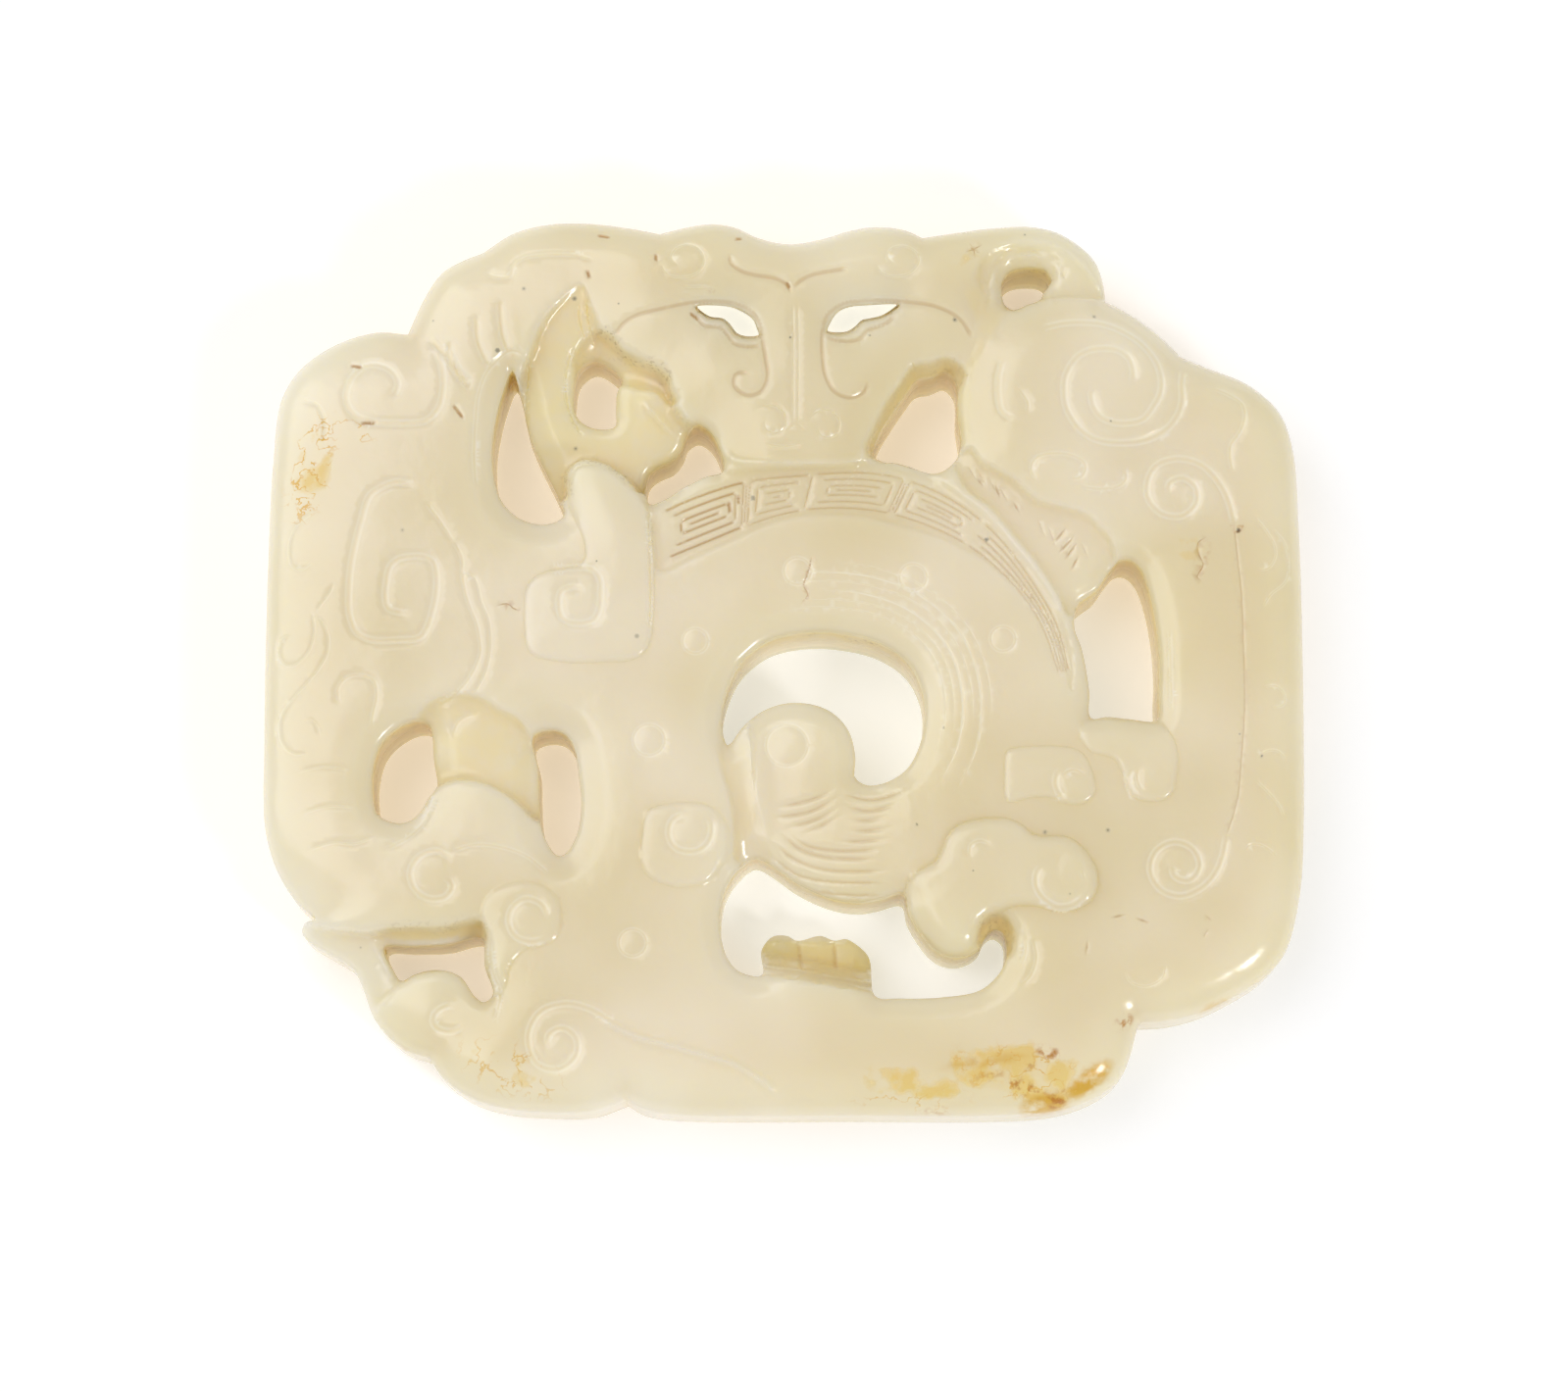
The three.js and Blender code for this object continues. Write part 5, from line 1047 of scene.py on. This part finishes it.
def nephrite():
    material = bpy.data.materials.new("polishedNephrite")
    material.use_nodes = True
    tree = material.node_tree
    tree.nodes.clear()
    out = tree.nodes.new("ShaderNodeOutputMaterial")
    stone = addNode(tree, "ShaderNodeBsdfPrincipled", {
        "IOR": finish["ior"], "Subsurface Weight": finish["scatterShare"],
        "Subsurface Radius": (0.97, 0.95, 0.62), "Subsurface Scale": finish["scatter"] * mm})
    place = addNode(tree, "ShaderNodeTexCoord").outputs["Object"]

    # Noise whose features are about this many millimetres across, stretched to run from 0 to 1
    def noise(size, detail=3.0, low=0.3, high=0.7):
        made = addNode(tree, "ShaderNodeTexNoise", {"Scale": 1 / (size * mm), "Detail": detail}, Vector=place)
        return addNode(tree, "ShaderNodeMapRange", {"From Min": low, "From Max": high},
                       Value=made.outputs["Fac"]).outputs["Result"]

    def mark(name):
        return addNode(tree, "ShaderNodeAttribute", {"attribute_name": name}).outputs["Fac"]

    def sums(kind, a, b):
        node = addNode(tree, "ShaderNodeMath", {"operation": kind, "use_clamp": True})
        for socket, value in zip(node.inputs, (a, b)):
            if isinstance(value, (int, float)):
                socket.default_value = value
            else:
                tree.links.new(value, socket)
        return node.outputs[0]

    def tinted(below, hexColour, amount):
        node = addNode(tree, "ShaderNodeMix", {"data_type": "RGBA"})
        tree.links.new(amount, node.inputs["Factor"])
        node.inputs[7].default_value = linear(hexColour)
        if isinstance(below, str):
            node.inputs[6].default_value = linear(below)
        else:
            tree.links.new(below, node.inputs[6])
        return node.outputs[2]

    cloud = tinted(finish["cloud"], finish["deepCloud"], noise(14, 2, 0.35, 0.65))      # the cloudy body
    # Painted sheen and light: paler rim, left flank and raised members
    cloud = tinted(cloud, finish["pale"], sums("MULTIPLY", mark("pale"), 0.8))
    # Painted highlight along the banks of the cuts
    cloud = tinted(cloud, finish["paintedHighlight"], sums("MULTIPLY", mark("paintedHighlight"), 0.45))
    # Walls and sunk floors tinted yellow-gold: partly real staining, partly a painted warm glow in their
    # shade
    giltAndGlow = sums("MAXIMUM", mark("wall"), mark("low"))
    cloud = tinted(cloud, finish["giltAndGlow"], sums("MULTIPLY", giltAndGlow, sums("ADD", noise(1.2), 0.3)))
    dusty = sums("MAXIMUM", sums("SUBTRACT", giltAndGlow, 0.3), mark("steep"))
    grains = sums("MULTIPLY", noise(0.26, 1, 0.56, 0.62), dusty)
    cloud = tinted(cloud, finish["grain"], sums("MULTIPLY", grains, noise(2.5, 2, 0.4, 0.6)))
    cloud = tinted(cloud, finish["dirt"], sums("MULTIPLY", mark("dirt"), noise(0.9, 3, 0.1, 0.42)))
    cell = addNode(tree, "ShaderNodeTexNoise", {"Scale": 1 / (1.5 * mm), "Detail": 5.0}, Vector=place)
    apart = addNode(tree, "ShaderNodeMath", {"operation": "COMPARE"}, i0=cell.outputs["Fac"])
    apart.inputs[1].default_value = 0.5            # thin threads where the noise crosses its mean
    apart.inputs[2].default_value = 0.013
    cracks = sums("MULTIPLY", apart.outputs[0], noise(1.1, 2, 0.38, 0.52))
    holes = sums("MULTIPLY", noise(1.9, 6, 0.36, 0.62), 0.88)
    patchy = sums("SUBTRACT", mark("stain"), holes)                                  # an uneven wash
    cloud = tinted(cloud, finish["wash"], sums("MULTIPLY", sums("ADD", patchy, patchy), 0.8))
    cloud = tinted(cloud, finish["gold"], sums("MULTIPLY", mark("gold"), noise(1.2, 4, 0.3, 0.5)))
    cloud = tinted(cloud, finish["vein"], sums("MULTIPLY", mark("vein"), cracks))
    cloud = tinted(cloud, finish["russet"], sums("MULTIPLY", mark("russet"), noise(0.55, 4, 0.46, 0.6)))
    cloud = tinted(cloud, finish["speck"], mark("speck"))
    tree.links.new(cloud, stone.inputs["Base Color"])
    gloss = addNode(tree, "ShaderNodeMapRange", {"To Min": finish["polished"], "To Max": finish["worn"]},
                    Value=sums("MAXIMUM", sums("MULTIPLY", mark("wall"), 0.7), patchy))
    tree.links.new(gloss.outputs["Result"], stone.inputs["Roughness"])
    swell = addNode(tree, "ShaderNodeBump", {"Strength": finish["swell"], "Distance": 0.25 * mm},
                    Height=noise(7, 1))
    wave = addNode(tree, "ShaderNodeBump", {"Strength": finish["wave"], "Distance": 0.2 * mm},
                   Height=noise(1.8, 2), Normal=swell.outputs["Normal"])
    scratches = addNode(tree, "ShaderNodeMapping", {"Scale": (0.12, 1.0, 1.0)}, Vector=place)
    polish = addNode(tree, "ShaderNodeTexNoise", {"Scale": 1 / (0.25 * mm), "Detail": 2.0},
                     Vector=scratches.outputs["Vector"])
    brushed = addNode(tree, "ShaderNodeBump", {"Strength": finish["brushed"], "Distance": 0.02 * mm},
                      Height=polish.outputs["Fac"], Normal=wave.outputs["Normal"])   # fine marks of polishing
    tree.links.new(brushed.outputs["Normal"], stone.inputs["Normal"])
    tree.links.new(stone.outputs["BSDF"], out.inputs["Surface"])
    return material


piece = jadePiece()
piece.data.materials.append(nephrite())
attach(piece, "root")
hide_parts("jade_pendant")
print("pendant carved")

# A sheet of matt white paper, which shows soft shadows and no gloss
sweep = {"side": 1.6, "drop": 0.05, "colour": "#E0E1E8", "roughness": 0.9}
bpy.ops.object.select_all(action="DESELECT")
bpy.ops.mesh.primitive_plane_add(size=sweep["side"], location=(0, 0, -sweep["drop"] * mm))
floor = bpy.context.object
floor.name = "floor"
white = bpy.data.materials.new("paperSweep")
white.use_nodes = True
paper = white.node_tree.nodes["Principled BSDF"].inputs
paper["Base Color"].default_value = linear(sweep["colour"])
paper["Roughness"].default_value = sweep["roughness"]

# Painted light: the paper glows where light would come to it through the windows, white under the large ones
# and warm under the small ones, as if tinted by the stone. "middle" and "reach" are millimetres.
paintedGlow = {
    "bright": {"middle": (-6, 5), "reach": (36, 32), "from": 0.88, "to": 1.25},
    "white": {"middle": (8, -8), "reach": (17, 17), "from": 0.8, "to": 1.2},
    "eyes": {"middle": (0.6, 24), "reach": (9, 3.5), "from": 0.9, "to": 1.3},
    "strong": 0.5, "weak": 0.4, "eyesMore": 0.25, "cool": "#F3F4EE", "warm": "#FBE9CF",
}
floorTree = white.node_tree
ground = addNode(floorTree, "ShaderNodeTexCoord").outputs["Object"]
fades = {}
for name in ("bright", "white", "eyes"):
    patch = paintedGlow[name]
    scale = [1 / (reach * mm) for reach in patch["reach"]]
    start = [-c * mm * s for c, s in zip(patch["middle"], scale)]
    far = addNode(floorTree, "ShaderNodeMapping", {"Location": (*start, 0), "Scale": (*scale, 0)},
                  Vector=ground)
    far = addNode(floorTree, "ShaderNodeVectorMath", {"operation": "LENGTH"}, i0=far.outputs["Vector"])
    fade = addNode(floorTree, "ShaderNodeMapRange", {"From Min": patch["from"], "From Max": patch["to"]},
                   Value=far.outputs["Value"])
    fades[name] = fade.outputs["Result"]
strength = addNode(floorTree, "ShaderNodeMapRange", {"To Min": paintedGlow["strong"], "To Max": paintedGlow["weak"]},
                   Value=fades["bright"])
more = addNode(floorTree, "ShaderNodeMapRange", {"To Min": paintedGlow["eyesMore"], "To Max": 0.0},
               Value=fades["eyes"])
more = addNode(floorTree, "ShaderNodeMath", {"operation": "ADD"}, i0=strength.outputs["Result"],
               i1=more.outputs["Result"])
inner = addNode(floorTree, "ShaderNodeMapRange", {"To Min": 1.0, "To Max": 0.0}, Value=fades["bright"])
small = addNode(floorTree, "ShaderNodeMath", {"operation": "MULTIPLY"}, i0=fades["white"], i1=fades["eyes"])
small = addNode(floorTree, "ShaderNodeMath", {"operation": "MULTIPLY"}, i0=small.outputs[0],
                i1=inner.outputs["Result"])
tone = addNode(floorTree, "ShaderNodeMix", {"data_type": "RGBA"}, Factor=small.outputs[0])
tone.inputs[6].default_value = linear(paintedGlow["cool"])
tone.inputs[7].default_value = linear(paintedGlow["warm"])
floorTree.links.new(more.outputs[0], paper["Emission Strength"])
floorTree.links.new(tone.outputs[2], paper["Emission Color"])
white.cycles.emission_sampling = "NONE"
floor.data.materials.append(white)


# Soft studio light: a large softbox at the upper left, a small lamp low on the right and a white room
lamps = {
    "softboxUpperLeft": {"place": (-0.56, 0.25, 0.78), "size": (0.85, 1.05), "power": 4.6},
    "lampLowerRight": {"place": (0.3, -0.26, 0.34), "size": (0.09, 0.09), "power": 0.65},
}
room = {"colour": "#FFFDFA", "strength": 0.485}
for name, lamp in lamps.items():
    bpy.ops.object.light_add(type="AREA", location=lamp["place"])
    light = bpy.context.object
    light.name = name
    light.data.shape = "RECTANGLE"
    light.data.size, light.data.size_y = lamp["size"]
    light.data.energy = lamp["power"]
    aimed = Vector((0, 0, 0.004)) - Vector(lamp["place"])
    light.rotation_euler = aimed.to_track_quat("-Z", "Y").to_euler()
world = bpy.data.worlds.new("studio")
bpy.context.scene.world = world
world.use_nodes = True
around = world.node_tree.nodes["Background"].inputs
around["Color"].default_value = linear(room["colour"])
around["Strength"].default_value = room["strength"]
print("paper and lights set")

# The photo's view, nine degrees off the vertical
view = {
    "tilt": 81.0, "distance": 0.3829, "lens": 135.0, "sensor": 36.0, "shiftPixels": 38.6, "frameWidth": 1599,
}
bpy.ops.object.camera_add()
camera = bpy.context.object
camera.name = "camera"
tilt = math.radians(view["tilt"])
aim = Vector((0, 0, high[2]))
camera.location = aim + view["distance"] * Vector((0, -math.cos(tilt), math.sin(tilt)))
camera.rotation_euler = (aim - camera.location).to_track_quat("-Z", "Y").to_euler()
camera.data.lens = view["lens"]
camera.data.sensor_width = view["sensor"]
camera.data.shift_y = -view["shiftPixels"] / view["frameWidth"]
camera.data.clip_start = 0.01
bpy.context.scene.camera = camera
bpy.context.scene.view_settings.view_transform = "Standard"
